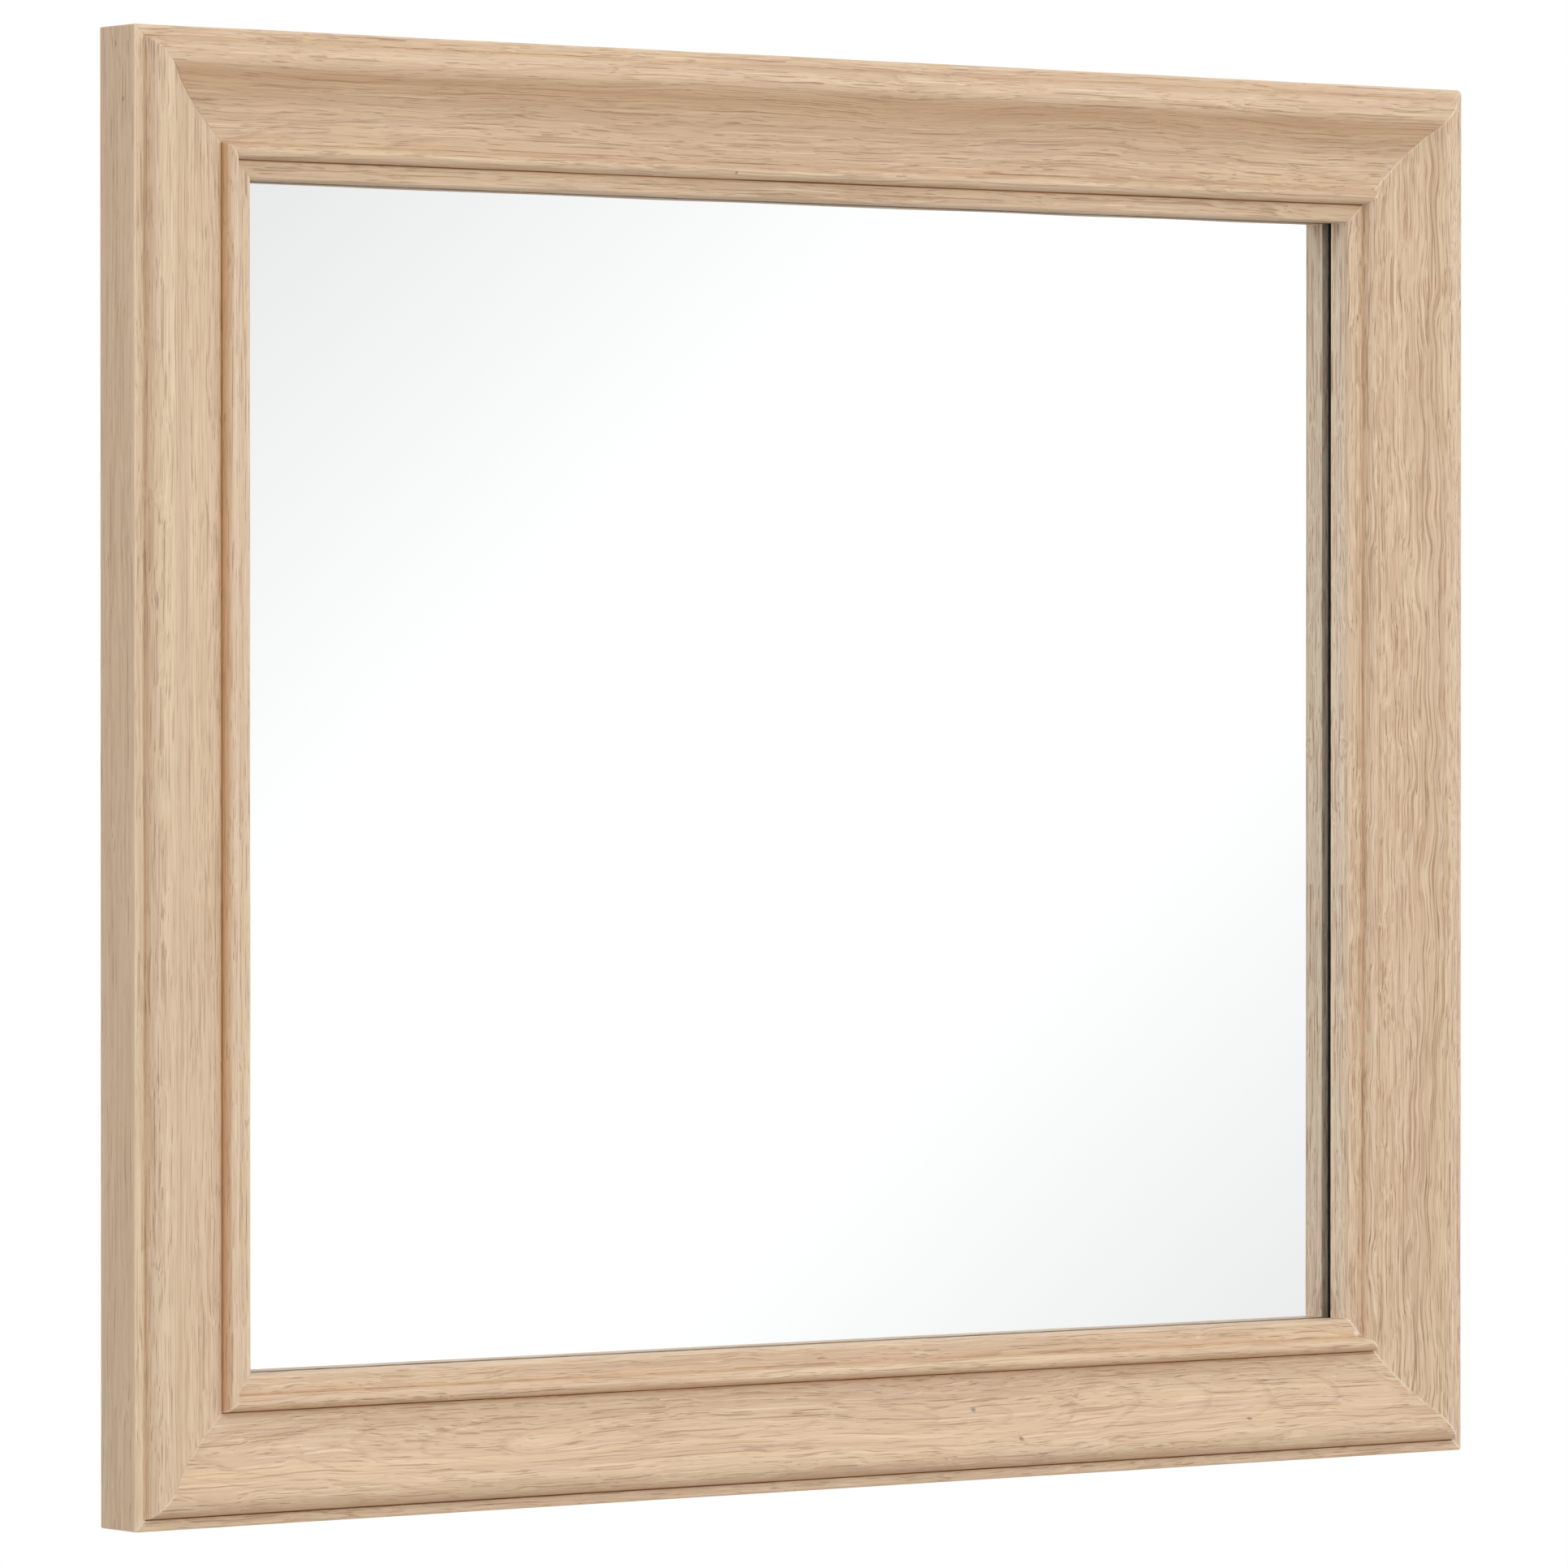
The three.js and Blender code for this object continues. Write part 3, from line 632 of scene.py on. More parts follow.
def pore_shares(graph, fibre_place, early, grain):
    """Short open pores, thickest in patches and in the early wood."""
    field = graph.noise(graph.scaled(fibre_place, PORE_SCALE), 1.0, 1.0)
    patch = graph.noise(graph.scaled(fibre_place, PORE_PATCH_SCALE), 1.0, 2.0)
    patch = graph.span(patch, 0.3, 0.7, -0.06, 0.06)
    gate = graph.math("ADD", graph.math("MULTIPLY", early, 0.04), patch)
    start = grain["pore_from"]
    return graph.span(graph.math("ADD", field, gate), start, start + 0.09, smooth=True)


def oak_fields(graph, seed, grain):
    """The fields that the colour, gloss and relief of one length of oak share."""
    own = object_place(graph)
    place = graph.vector("ADD", own, tuple(seed * step for step in SEED_STEP))
    sideways = stray(graph, place, grain)
    fibre_place = graph.vector("ADD", place, sideways)
    early, late = growth_rings(graph, own, place, sideways, grain)
    lines = graph.noise(graph.scaled(fibre_place, LINE_SCALE, LINE_OFFSET), 1.0, 1.0)
    split = graph.separate(own)
    return SimpleNamespace(
        own=own,
        along=split[0],
        inward=split[2],
        late=late,
        broad=graph.noise(graph.scaled(fibre_place, BROAD_SCALE), 1.0, 2.0),
        streak=graph.noise(graph.scaled(fibre_place, STREAK_SCALE), 1.0, 2.0, 0.6),
        fibre=graph.noise(graph.scaled(fibre_place, FIBRE_SCALE), 1.0, 2.0, 0.6),
        pores=pore_shares(graph, fibre_place, early, grain),
        dark_lines=graph.span(lines, 0.64, 0.7, smooth=True),
        pale_lines=graph.span(lines, 0.36, 0.3, smooth=True),
        # The side face is planed smoother than the moulded one.
        coarse=graph.span(split[2], *SIDE_FACE, 0.45, 1.0),
    )


def wood_colour(graph, field, grain):
    """Ground, streaks, fibres, rings and pores."""

    def coat(share, strength, colour, tint):
        return graph.mix(graph.math("MULTIPLY", share, strength), colour, tint)

    colour = graph.mix(graph.span(field.broad, 0.32, 0.68), OAK_PINK, OAK_YELLOW)
    colour = graph.mix(0.35, colour, OAK_BASE)
    # The outer side face is painted darker and warmer: painted shade on a face turned from the light.
    colour = graph.mix(graph.span(field.inward, *SIDE_FACE, 0.45, 0.0), colour, OAK_SIDE_SHADE)
    colour = graph.mix(grain["limed"], colour, OAK_LIMED_AND_LIT)
    # Liming and painted light from the mirror on the sight edge and lip.
    colour = graph.mix(graph.attribute("pale"), colour, OAK_LIMED_AND_LIT)
    colour = graph.mix(graph.span(field.streak, 0.28, 0.5, grain["streaks"], 0.0), colour, OAK_TAN)
    colour = graph.mix(graph.span(field.streak, 0.5, 0.72, 0.0, grain["streaks"]), colour, OAK_PALE)
    dark_fibre = graph.span(field.fibre, 0.3, 0.47, grain["lines"], 0.0)
    colour = coat(dark_fibre, field.coarse, colour, OAK_RING)
    pale_fibre = graph.span(field.fibre, 0.53, 0.7, 0.0, 0.8 * grain["lines"])
    colour = coat(pale_fibre, field.coarse, colour, OAK_RUBBED_AND_HIGHLIGHT)
    broken = graph.math("MULTIPLY", field.late, graph.span(field.fibre, 0.4, 0.56, 0.3, 1.0))
    colour = coat(broken, grain["veins"], colour, OAK_RING)
    colour = coat(field.pale_lines, 0.6, colour, OAK_RUBBED_AND_HIGHLIGHT)
    colour = coat(field.dark_lines, 0.5, colour, OAK_PORE)
    return coat(graph.math("MULTIPLY", field.pores, field.coarse), grain["pores"], colour, OAK_PORE)


def finished_colour(graph, colour, field, grain):
    """Glaze and painted shade darken the grooves, with painted shadow lines in the deepest; worn edges get
    painted highlights.
    """
    recess = graph.attribute("recess")
    # Glaze with painted shade where the section is recessed, and painted shadow lines where it is recessed
    # most.
    colour = graph.mix(recess, colour, OAK_GLAZE_AND_SHADE)
    colour = graph.mix(graph.span(recess, 0.78, 1.0, 0.0, 0.85), colour, OAK_DEEP_GLAZE_AND_SHADOW)
    # Worn edges and painted highlights, paler.
    worn_and_highlit = graph.math("MULTIPLY", graph.attribute("wear_and_highlight"), graph.span(field.fibre, 0.35, 0.65, 0.25, 0.8))
    return graph.mix(graph.math("MULTIPLY", worn_and_highlit, grain["worn_and_highlit"]), colour, OAK_RUBBED_AND_HIGHLIGHT)


def glued_colour(graph, colour, field, half_length, grain):
    """A pale, patchy glue line along each mitre."""
    from_end = graph.math("SUBTRACT", half_length, graph.math("ABSOLUTE", field.along))
    from_mitre = graph.math("SUBTRACT", from_end, field.inward)
    patchy = graph.noise(graph.scaled(field.own, GLUE_SCALE), 1.0, 2.0)
    glue = graph.span(from_mitre, *GLUE_WIDTH, 1.0, 0.0)
    glue = graph.math("MULTIPLY", glue, graph.span(patchy, 0.34, 0.52, 0.25, 1.0))
    glue = graph.math("MULTIPLY", glue, graph.span(field.along, -0.01, 0.01, *grain["glue"]))
    return graph.mix(glue, colour, OAK_GLUE)


def spotted_colour(graph, colour, field, grain):
    """Pips, short checks and spots of filler."""
    marks = [(mark, OAK_PIP) for mark in grain["pips"]]
    marks += [(mark, OAK_GLUE) for mark in grain["fillers"]]
    for (along, up, inward, size, stretch), tint in marks:
        offset = graph.vector("SUBTRACT", field.own, (along * MM, -up * MM, inward * MM))
        reach = graph.length(graph.scaled(offset, (1 / stretch, 1.0, 1.0)))
        reach = graph.math("ADD", reach, graph.math("MULTIPLY", field.fibre, 1.2 * MM))
        spot = graph.span(reach, size * 0.6 * MM, (size + 1.2) * MM, 0.85, 0.0, smooth=True)
        colour = graph.mix(spot, colour, tint)
    return colour


def oak_relief(graph, field):
    height = graph.math("MULTIPLY", field.pores, -0.8)
    height = graph.math("ADD", height, graph.math("MULTIPLY", field.fibre, 1.5))
    height = graph.math("ADD", height, graph.math("MULTIPLY", field.streak, 1.8))
    height = graph.math("SUBTRACT", height, graph.math("MULTIPLY", field.dark_lines, 0.6))
    return graph.bump(graph.math("MULTIPLY", height, field.coarse), RELIEF, 0.9)


def oak_material(name, half_length, seed, grain):
    """Limed oak with its grain along the piece's own x."""
    material, graph = new_material(name)
    field = oak_fields(graph, seed, grain)
    colour = wood_colour(graph, field, grain)
    colour = finished_colour(graph, colour, field, grain)
    colour = glued_colour(graph, colour, field, half_length, grain)
    gloss = graph.span(field.broad, 0.3, 0.7, 0.42, 0.52)
    graph.surface(
        {
            "Base Color": spotted_colour(graph, colour, field, grain),
            "Roughness": graph.math("ADD", gloss, graph.math("MULTIPLY", field.pores, 0.25)),
            "Specular IOR Level": 0.4,
            "Normal": oak_relief(graph, field),
        }
    )
    return material


CORNER_ROUND = {"TL": 1.0, "TR": 3.4, "BL": 1.0, "BR": 1.2}  # mm
# What differs from length to length. drift and ripple are how far the fibres stray, in metres. heart
# is added to a place to measure it from the tree's middle, taper is how fast the rings widen along the
# piece, and ring is the width of one; heart and ring are in metres. pore_from is higher for fewer pores,
# and glue is the share at the -x and +x ends. The rest are shares too. A pip or a spot of filler is
# (along, up, inward, size, stretch), the first four in mm.
GRAINS = {
    "bottom_rail": {
        "drift": 0.012,
        "ripple": 0.0036,
        "taper": 0.10,
        "heart": (0.008, 0.020, -0.036),
        "ring": 0.0050,
        "veins": 0.32,
        "pore_from": 0.67,
        "pores": 0.5,
        "lines": 0.34,
        "streaks": 0.4,
        "worn_and_highlit": 0.25,
        "limed": 0.0,
        "glue": (0.5, 0.95),
        "fillers": ((437.6, 28.8, 80.2, 2.6, 1.0), (435.5, 28.9, 85.0, 0.9, 1.3)),
        "pips": (
            (115.9, 32.8, 44.2, 1.7, 1.3),
            (144.8, 45.4, 25.5, 2.1, 1.0),
            (335.8, 41.8, 29.5, 1.4, 1.6),
            (359.5, 30.4, 52.6, 0.4, 9.0),
            (418.0, 34.8, 39.7, 0.4, 7.0),
        ),
    },
    "top_rail": {
        "drift": 0.014,
        "ripple": 0.0024,
        "taper": 0.06,
        "heart": (0.01, -0.01, -0.075),
        "ring": 0.0075,
        "veins": 0.4,
        "pore_from": 0.66,
        "pores": 0.4,
        "lines": 0.3,
        "streaks": 0.36,
        "worn_and_highlit": 0.6,
        "limed": 0.0,
        "glue": (0.75, 0.1),
        "fillers": (),
        "pips": ((74.5, 37.2, 74.0, 1.0, 1.2), (118.0, 45.0, 24.0, 1.2, 3.0)),
    },
    "left_stile": {
        "drift": 0.012,
        "ripple": 0.0030,
        "taper": 0.02,
        "heart": (0.0, 0.05, -0.16),
        "ring": 0.0060,
        "veins": 0.22,
        "pore_from": 0.67,
        "pores": 0.5,
        "lines": 0.5,
        "streaks": 0.55,
        "worn_and_highlit": 1.0,
        "limed": 0.3,
        "glue": (0.1, 0.5),
        "fillers": (),
        "pips": (
            (-439.2, 17.2, 0.0, 0.9, 2.0),
            (-405.8, 25.3, 0.0, 1.1, 1.5),
            (-425.0, 48.1, 15.2, 0.3, 14.0),
        ),
    },
    "right_stile": {
        "drift": 0.008,
        "ripple": 0.0060,
        "taper": 0.02,
        "heart": (0.0, 0.09, -0.05),
        "ring": 0.0045,
        "veins": 0.25,
        "pore_from": 0.64,
        "pores": 0.5,
        "lines": 0.85,
        "streaks": 0.8,
        "worn_and_highlit": 0.8,
        "limed": 0.16,
        "glue": (0.95, 0.75),
        "fillers": (),
        "pips": (),
    },
}
# How much glaze and painted shade darken the quirk, the fall below the crest, the groove and the inner bead's
# foot, how bright the painted highlight on that bead's rim is, and how much the sight edge is limed and
# painted lighter for the light the mirror throws on it.
FINISH_AND_PAINTED_LIGHT = {
    "bottom_rail": {
        "quirk": 0.92,
        "fall": 0.0,
        "groove": 0.9,
        "foot": 0.3,
        "rim_highlight": 0.2,
        "sight_liming_and_light": 0.2,
    },
    "top_rail": {
        "quirk": 0.05,
        "fall": 0.34,
        "groove": 0.0,
        "foot": 1.0,
        "rim_highlight": 0.8,
        "sight_liming_and_light": 0.0,
    },
    "left_stile": {
        "quirk": 0.15,
        "fall": 0.0,
        "groove": 0.85,
        "foot": 0.3,
        "rim_highlight": 1.0,
        "sight_liming_and_light": 0.5,
    },
    "right_stile": {
        "quirk": 0.25,
        "fall": 0.0,
        "groove": 0.86,
        "foot": 0.3,
        "rim_highlight": 0.0,
        "sight_liming_and_light": 1.0,
    },
}
# name: (angle round Y, length, width of the frame across it, corners at its -x and +x ends,
#        depth of its grooves as a share, sanding wave in mm, seed)
RAILS = {
    "bottom_rail": (0.0, FRAME_WIDTH, FRAME_HEIGHT, ("BL", "BR"), 1.0, SANDING_WAVE, 3.0),
    "top_rail": (math.pi, FRAME_WIDTH, FRAME_HEIGHT, ("TR", "TL"), 0.1, TOP_SANDING_WAVE, 7.0),
    "left_stile": (math.pi / 2, FRAME_HEIGHT, FRAME_WIDTH, ("TL", "BL"), 0.3, SANDING_WAVE, 11.0),
    "right_stile": (-math.pi / 2, FRAME_HEIGHT, FRAME_WIDTH, ("BR", "TR"), 0.5, SANDING_WAVE, 19.0),
}


def add_rails():
    for node, (turn, side, across, corners, depth, wave, seed) in RAILS.items():
        half = side / 2
        radii = [CORNER_ROUND[corner] for corner in corners]
        section = moulding_section(depth, FINISH_AND_PAINTED_LIGHT[node])
        mesh = rail_mesh(node + "_oak", section, half / MM, radii, wave, seed)
        mesh.materials.append(oak_material("oak_" + node, half, seed, GRAINS[node]))
        rail = link(node + "_oak", mesh)
        spin = Matrix.Rotation(turn, 4, "Y")
        outward = spin @ Vector((0.0, 0.0, -across / 2))
        rail.matrix_world = Matrix.Translation(FRAME_MIDDLE + outward) @ spin
        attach(rail, ROOT)
        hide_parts(node)


add_rails()

# ---------- mirror ----------

# Glass bends light, so the silver behind it is drawn at the smaller depth where it seems to lie.
SILVER_DEPTH = 0.57  # share of the glass's thickness
GLASS_ARRIS = 0.5 * MM


def slab_mesh(name, low, high, arris):
    """A flat sheet with its arrises rubbed down."""
    made = bmesh.new()
    bmesh.ops.create_cube(made, size=1.0)
    bmesh.ops.scale(made, vec=high - low, verts=made.verts)
    bmesh.ops.translate(made, vec=(low + high) / 2, verts=made.verts)
    bmesh.ops.bevel(made, geom=list(made.edges), offset=arris, segments=2, profile=0.5, affect="EDGES")
    mesh = bpy.data.meshes.new(name)
    made.to_mesh(mesh)
    made.free()
    return mesh


def silver_material():
    material, graph = new_material("silvering")
    cloud = graph.noise(graph.scaled(object_place(graph), (3.0, 3.0, 3.0)), 1.0, 3.0)
    graph.surface(
        {
            "Base Color": graph.mix(cloud, linear(236, 237, 237), linear(239, 239, 239)),
            "Metallic": 1.0,
            "Roughness": 0.0,
        }
    )
    return material


def paint_material():
    material, graph = new_material("backing_paint")
    place = object_place(graph)
    peel = graph.noise(place, 900.0, 2.0)
    cloud = graph.noise(place, 14.0, 3.0)
    graph.surface(
        {
            "Base Color": graph.mix(cloud, linear(70, 78, 80), linear(84, 92, 93)),
            "Roughness": graph.span(cloud, 0.3, 0.7, 0.4, 0.55),
            "Normal": graph.bump(peel, 0.00005, 0.6),
        }
    )
    return material


def add_mirror():
    """The glass as one plate, silver on its front face and paint on the rest."""
    low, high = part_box("mirror_glass")
    silver = Vector((low.x, low.y + SILVER_DEPTH * (high.y - low.y), low.z))
    plate = link("mirror_plate", slab_mesh("mirror_plate", silver, high, GLASS_ARRIS))
    plate.data.materials.append(silver_material())
    plate.data.materials.append(paint_material())
    for face in plate.data.polygons:
        face.material_index = 0 if face.normal.y < -0.5 else 1
    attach(plate, ROOT)
    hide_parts("mirror_glass")


add_mirror()

# ---------- back board and hidden fittings ----------


def fibreboard_material():
    """Bare hardboard: pressed brown fibres lying every way, with a faint screen pattern."""
    material, graph = new_material("fibreboard")
    place = object_place(graph)
    cloud = graph.noise(place, 6.0, 4.0)
    across = graph.noise(graph.scaled(place, (160.0, 160.0, 1100.0)), 1.0, 2.0, 0.7)
    upward = graph.noise(graph.scaled(place, (1100.0, 160.0, 160.0), (3.0, 1.0, 2.0)), 1.0, 2.0, 0.7)
    fibres = graph.math("MAXIMUM", across, upward)
    specks = graph.noise(place, 900.0, 2.0, 0.7)
    colour = graph.mix(graph.span(cloud, 0.3, 0.7), linear(139, 103, 72), linear(160, 123, 88))
    colour = graph.mix(graph.span(fibres, 0.55, 0.75, 0.0, 0.5), colour, linear(184, 148, 110))
    colour = graph.mix(graph.span(specks, 0.6, 0.75, 0.0, 0.5), colour, linear(98, 68, 46))
    height = graph.math("ADD", fibres, graph.math("MULTIPLY", specks, -0.4))
    graph.surface(
        {
            "Base Color": colour,
            "Roughness": graph.span(cloud, 0.3, 0.7, 0.62, 0.78),
            "Specular IOR Level": 0.3,
            "Normal": graph.bump(height, 0.0002, 0.7),
        }
    )
    return material


def beech_material():
    material, graph = new_material("beech")
    place = object_place(graph)
    broad = graph.noise(place, 60.0, 3.0)
    flecks = graph.noise(place, 700.0, 2.0)
    colour = graph.mix(broad, linear(203, 174, 134), linear(216, 190, 152))
    colour = graph.mix(graph.span(flecks, 0.58, 0.72, 0.0, 0.6), colour, linear(168, 128, 90))
    graph.surface({"Base Color": colour, "Roughness": 0.6, "Normal": graph.bump(flecks, 0.0001, 0.6)})
    return material


def dark_material(name, dark, light, grain_scale, depth, rough):
    """Moulded rubber, soft plastic or foam: a dark ground with a fine surface grain."""
    material, graph = new_material(name)
    place = object_place(graph)
    grains = graph.noise(place, grain_scale, 3.0, 0.6)
    cloud = graph.noise(place, 120.0, 3.0)
    colour = graph.mix(graph.span(cloud, 0.3, 0.7), dark, light)
    dust = graph.span(grains, 0.6, 0.78, 0.0, 0.35)
    graph.surface(
        {
            "Base Color": graph.mix(dust, colour, linear(112, 110, 106)),
            "Roughness": graph.span(grains, 0.3, 0.7, rough - 0.08, rough + 0.08),
            "Specular IOR Level": 0.35,
            "Normal": graph.bump(grains, depth, 0.8),
        }
    )
    return material


def plated_material(name, dark, light, rough):
    """Plated steel: a cloudy metal with fine rolling lines, and dull patches where it was handled."""
    material, graph = new_material(name)
    place = object_place(graph)
    cloud = graph.noise(place, 260.0, 3.0)
    lines = graph.noise(graph.scaled(place, (2600.0, 2600.0, 240.0)), 1.0, 2.0, 0.6)
    dull = graph.noise(place, 90.0, 4.0, 0.6)
    gloss = graph.span(dull, 0.3, 0.7, rough, rough + 0.16)
    gloss = graph.math("ADD", gloss, graph.span(lines, 0.3, 0.7, -0.03, 0.05))
    graph.surface(
        {
            "Base Color": graph.mix(graph.span(cloud, 0.3, 0.7), dark, light),
            "Metallic": 1.0,
            "Roughness": gloss,
            "Normal": graph.bump(lines, 0.00003, 0.5),
        }
    )
    return material


RUBBER = dark_material("rubber", linear(40, 40, 41), linear(50, 49, 49), 1500.0, 0.00008, 0.72)
SOFT_PLASTIC = dark_material("soft_plastic", linear(50, 50, 52), linear(60, 60, 62), 900.0, 0.00005, 0.6)
FOAM = dark_material("foam", linear(42, 40, 38), linear(52, 50, 47), 2200.0, 0.00025, 0.88)
ZINC = plated_material("zinc", linear(182, 186, 190), linear(200, 202, 203), 0.26)
NICKEL = plated_material("nickel", linear(196, 192, 184), linear(212, 208, 199), 0.2)
HIDDEN_FINISHES = {
    "back_board": fibreboard_material(),
    "dowel": beech_material(),
    "setting_block": SOFT_PLASTIC,
    "spacer": FOAM,
}


def finish_cad_nodes():
    """Gives the CAD's own solids that stay in view their materials."""
    for name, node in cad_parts.items():
        for start, material in HIDDEN_FINISHES.items():
            if name.startswith(start):
                node.material_slots[0].material = material


finish_cad_nodes()

# ---------- hanging hardware ----------

SMOOTH_FITTING = math.radians(35)


def add_fitting(name, mesh, place, material, body, node):
    """Links a mesh at a place, in the stead of a CAD node on the same body."""
    if not mesh.materials:
        mesh.materials.append(material)
    made = link(name, mesh)
    made.location = place
    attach(made, body)
    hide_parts(node)
    return made


def turned_solid(outline, segments):
    """A bmesh turned round Y from [(radius, y)] in mm, the first and last points on the axis."""
    made = bmesh.new()
    rings = []
    for radius, up in outline[1:-1]:
        ring = []
        for i in range(segments):
            angle = 2 * math.pi * i / segments
            ring.append(made.verts.new(Vector((radius * math.cos(angle), up, radius * math.sin(angle))) * MM))
        rings.append(ring)
    ends = [made.verts.new((0.0, outline[i][1] * MM, 0.0)) for i in (0, -1)]
    for i in range(segments):
        j = (i + 1) % segments
        made.faces.new((ends[0], rings[0][i], rings[0][j]))
        made.faces.new((ends[1], rings[-1][j], rings[-1][i]))
        for low, high in zip(rings, rings[1:]):
            made.faces.new((low[i], high[i], high[j], low[j]))
    bmesh.ops.recalc_face_normals(made, faces=made.faces)
    return made


def mesh_of(name, made, sharp_angle=SMOOTH_FITTING):
    mesh = bpy.data.meshes.new(name)
    made.to_mesh(mesh)
    made.free()
    for face in mesh.polygons:
        face.use_smooth = True
    mesh.set_sharp_from_angle(angle=sharp_angle)
    return mesh


SCREW_RADIUS = 1.75
HEAD_RADIUS = 3.25
HEAD_HEIGHT = HEAD_RADIUS - SCREW_RADIUS
SCREW_POINT = 3.0
TIP_RADIUS = 0.5
SCREW_SIDES = 40
RECESS_LENGTH = 3.4
RECESS_WIDTH = 0.9
RECESS_DEPTH = 1.1
RECESS_ABOVE = 0.4  # how far the cutter stands above the head
RECESS_TAPER = 0.6  # the cross narrows to this share at its foot
SCREW_TURN = 2.4  # from one screw's cross to the next's, in radians


def recess_cutter():
    """A tapered cross, its wide end just above y = 0."""
    made = bmesh.new()
    half_long = RECESS_LENGTH / 2
    half_wide = RECESS_WIDTH / 2
    corner = [(half_long, half_wide), (half_wide, half_wide), (half_wide, half_long)]
    cross = []
    for quarter in range(4):
        cosine = math.cos(math.pi / 2 * quarter)
        sine = math.sin(math.pi / 2 * quarter)
        cross += [(x * cosine - z * sine, x * sine + z * cosine) for x, z in corner]
    levels = []
    for up, share in ((RECESS_ABOVE, 1.1), (-RECESS_DEPTH, RECESS_TAPER)):
        levels.append([made.verts.new(Vector((x * share, up, z * share)) * MM) for x, z in cross])
    count = len(cross)
    for i in range(count):
        j = (i + 1) % count
        made.faces.new((levels[0][i], levels[0][j], levels[1][j], levels[1][i]))
    made.faces.new(levels[0])
    made.faces.new(reversed(levels[1]))
    bmesh.ops.recalc_face_normals(made, faces=made.faces)
    return mesh_of("recess", made)


def screw_mesh(name, length):
    """A countersunk screw along -y from its head's flat face at y = 0, with a cross recess."""
    outline = [
        (0.0, -length),
        (TIP_RADIUS, -length + 0.3),
        (SCREW_RADIUS, -length + SCREW_POINT),
        (SCREW_RADIUS, -HEAD_HEIGHT),
        (HEAD_RADIUS, -0.14),
        (HEAD_RADIUS - 0.04, -0.05),
        (HEAD_RADIUS - 0.16, 0.0),
        (0.0, 0.0),
    ]
    blank = link(name + "_blank", mesh_of(name + "_blank", turned_solid(outline, SCREW_SIDES)))
    cutter = link(name + "_cutter", recess_cutter())
    cut = blank.modifiers.new("recess", "BOOLEAN")
    cut.operation = "DIFFERENCE"
    cut.solver = "EXACT"
    cut.object = cutter
    shape = blank.evaluated_get(bpy.context.evaluated_depsgraph_get())
    mesh = bpy.data.meshes.new_from_object(shape)
    mesh.name = name
    mesh.set_sharp_from_angle(angle=SMOOTH_FITTING)
    for scrap in (blank, cutter):
        bpy.data.objects.remove(scrap)
    return mesh


def add_screws():
    meshes = {}
    screws = [node for node in sorted(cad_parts) if "screw" in node]
    for i, node in enumerate(screws):
        kind = node.split("_screw_")[0]
        low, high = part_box(node)
        if kind not in meshes:
            meshes[kind] = screw_mesh(kind + "_screw", (high.y - low.y) / MM)
        head = Vector(((low.x + high.x) / 2, high.y, (low.z + high.z) / 2))
        made = add_fitting(node + "_zinc", meshes[kind], head, ZINC, ROOT, node)
        made.rotation_euler.y = SCREW_TURN * i


RING_CORNER = 3.0
BAR_SHARE = 0.37  # the part of the bar's half length that has closer stations
BAR_STEPS = 6
CORNER_STEPS = 10
BOW_STEPS = 26
WIRE_SIDES = 24
SMOOTH_RING = math.radians(60)


def ring_path(half_width, reach):
    """The ring's middle line from the middle of its bar, as [(x, z)] in mm, running down one side."""
    side = reach - half_width
    bar_end = half_width - RING_CORNER
    path = [(half_width * BAR_SHARE * i / BAR_STEPS, 0.0) for i in range(BAR_STEPS + 1)]
    path += [(bar_end, 0.0)]
    path += ellipse((bar_end, -RING_CORNER), (RING_CORNER, RING_CORNER), 90, 0, CORNER_STEPS)[1:]
    path += ellipse((0.0, -side), (half_width, half_width), 0, -90, BOW_STEPS)
    mirrored = [(-x, z) for x, z in reversed(path[1:-1])]
    return path + mirrored


def ring_mesh(name, wire, half_width, reach):
    """A round wire bent along the ring's path."""
    path = ring_path(half_width, reach)
    made = bmesh.new()
    rings = []
    for i, (x, z) in enumerate(path):
        before = path[i - 1]
        after = path[(i + 1) % len(path)]
        along = Vector((after[0] - before[0], 0.0, after[1] - before[1])).normalized()
        out = along.cross(Vector((0.0, 1.0, 0.0)))
        ring = []
        for k in range(WIRE_SIDES):
            angle = 2 * math.pi * k / WIRE_SIDES
            off = out * math.cos(angle) + Vector((0.0, 1.0, 0.0)) * math.sin(angle)
            ring.append(made.verts.new((Vector((x, 0.0, z)) + off * wire) * MM))
        rings.append(ring)
    for i, ring in enumerate(rings):
        following = rings[(i + 1) % len(rings)]
        for k in range(WIRE_SIDES):
            m = (k + 1) % WIRE_SIDES
            made.faces.new((ring[k], following[k], following[m], ring[m]))
    bmesh.ops.recalc_face_normals(made, faces=made.faces)
    return mesh_of(name, made, SMOOTH_RING)


def add_rings():
    for side in ("left", "right"):
        node = "d_ring_" + side
        low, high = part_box(node)
        wire = (high.y - low.y) / 2 / MM
        half_width = (high.x - low.x) / 2 / MM - wire
        reach = (high.z - low.z) / MM - 2 * wire
        axis = Vector(((low.x + high.x) / 2, (low.y + high.y) / 2, high.z - wire * MM))
        mesh = ring_mesh(node + "_wire", wire, half_width, reach)
        add_fitting(node + "_wire", mesh, axis, NICKEL, "ring_" + side, node)


STRAP_EASE = 0.22  # mm, how far the strap's cut edges are rounded
EDGE_ANGLE = math.radians(40)


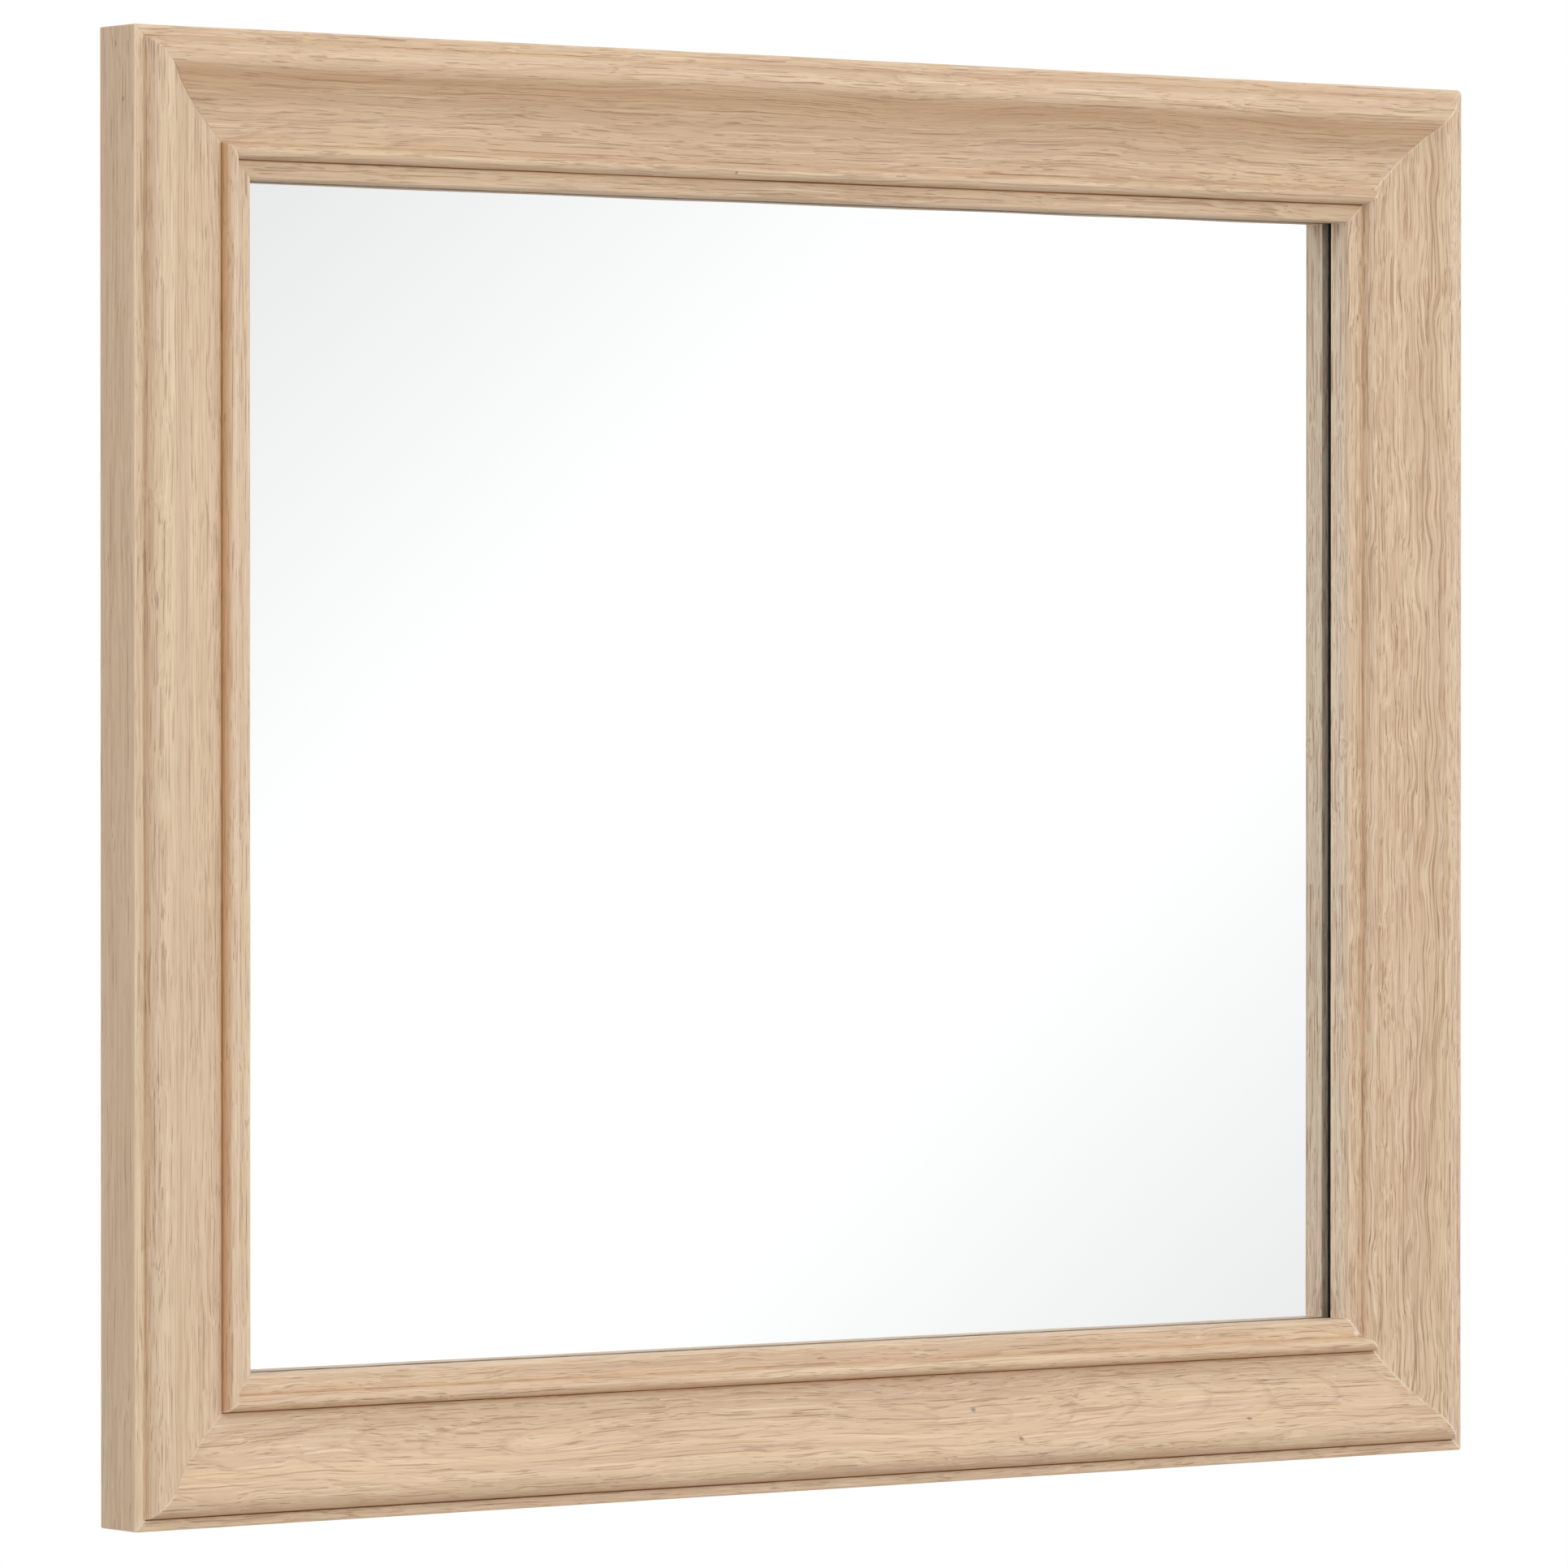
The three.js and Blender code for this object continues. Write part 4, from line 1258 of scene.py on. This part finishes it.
def eased_mesh(name, node, ease):
    """The node's own shape, with its sharp outer edges rounded."""
    made = bmesh.new()
    made.from_mesh(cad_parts[node].data)
    bmesh.ops.remove_doubles(made, verts=made.verts, dist=1e-6)
    bmesh.ops.dissolve_limit(made, angle_limit=math.radians(1), verts=made.verts, edges=made.edges)
    edges = [edge for edge in made.edges if edge.is_convex and edge.calc_face_angle(0.0) > EDGE_ANGLE]
    bmesh.ops.bevel(made, geom=edges, offset=ease * MM, segments=2, profile=0.5, affect="EDGES")
    mesh = mesh_of(name, made)
    mesh.materials.clear()
    return mesh


def add_straps():
    for side in ("left", "right"):
        node = "strap_hanger_" + side
        mesh = eased_mesh(node + "_steel", node, STRAP_EASE)
        add_fitting(node + "_steel", mesh, (0.0, 0.0, 0.0), NICKEL, ROOT, node)


BUMPER_EDGE = 0.7  # mm, rounding of its face
BUMPER_DIMPLE = 1.6  # mm, radius of the moulding mark in its face
BUMPER_TAPER = 1.5  # mm, how much less the face's radius is than the foot's
BUMPER_SIDES = 56


def bumper_outline(foot, face, height):
    """[(radius, y)] in mm from the foot's middle to the face's middle, at y = 0."""
    rim = [(foot - 0.4, -height), (foot, -height + 0.35), (foot, -height + 0.9)]
    rounding = ellipse((face - BUMPER_EDGE, -BUMPER_EDGE), (BUMPER_EDGE, BUMPER_EDGE), 8, 90, 6)
    waist = (foot - 0.55, -height + 1.4)
    mark = [(BUMPER_DIMPLE + 0.3, 0.0), (BUMPER_DIMPLE, -0.15), (BUMPER_DIMPLE - 0.25, -0.5)]
    return [(0.0, -height)] + rim + [waist] + rounding + mark + [(0.0, -0.5)]


def add_bumpers():
    for node in sorted(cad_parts):
        if not node.startswith("bumper_"):
            continue
        low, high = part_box(node)
        foot = (high.x - low.x) / 2 / MM
        height = (high.y - low.y) / MM
        outline = bumper_outline(foot, foot - BUMPER_TAPER, height)
        face = Vector(((low.x + high.x) / 2, high.y, (low.z + high.z) / 2))
        mesh = mesh_of(node + "_pad", turned_solid(outline, BUMPER_SIDES))
        add_fitting(node + "_pad", mesh, face, RUBBER, ROOT, node)


add_screws()
add_rings()
add_straps()
add_bumpers()
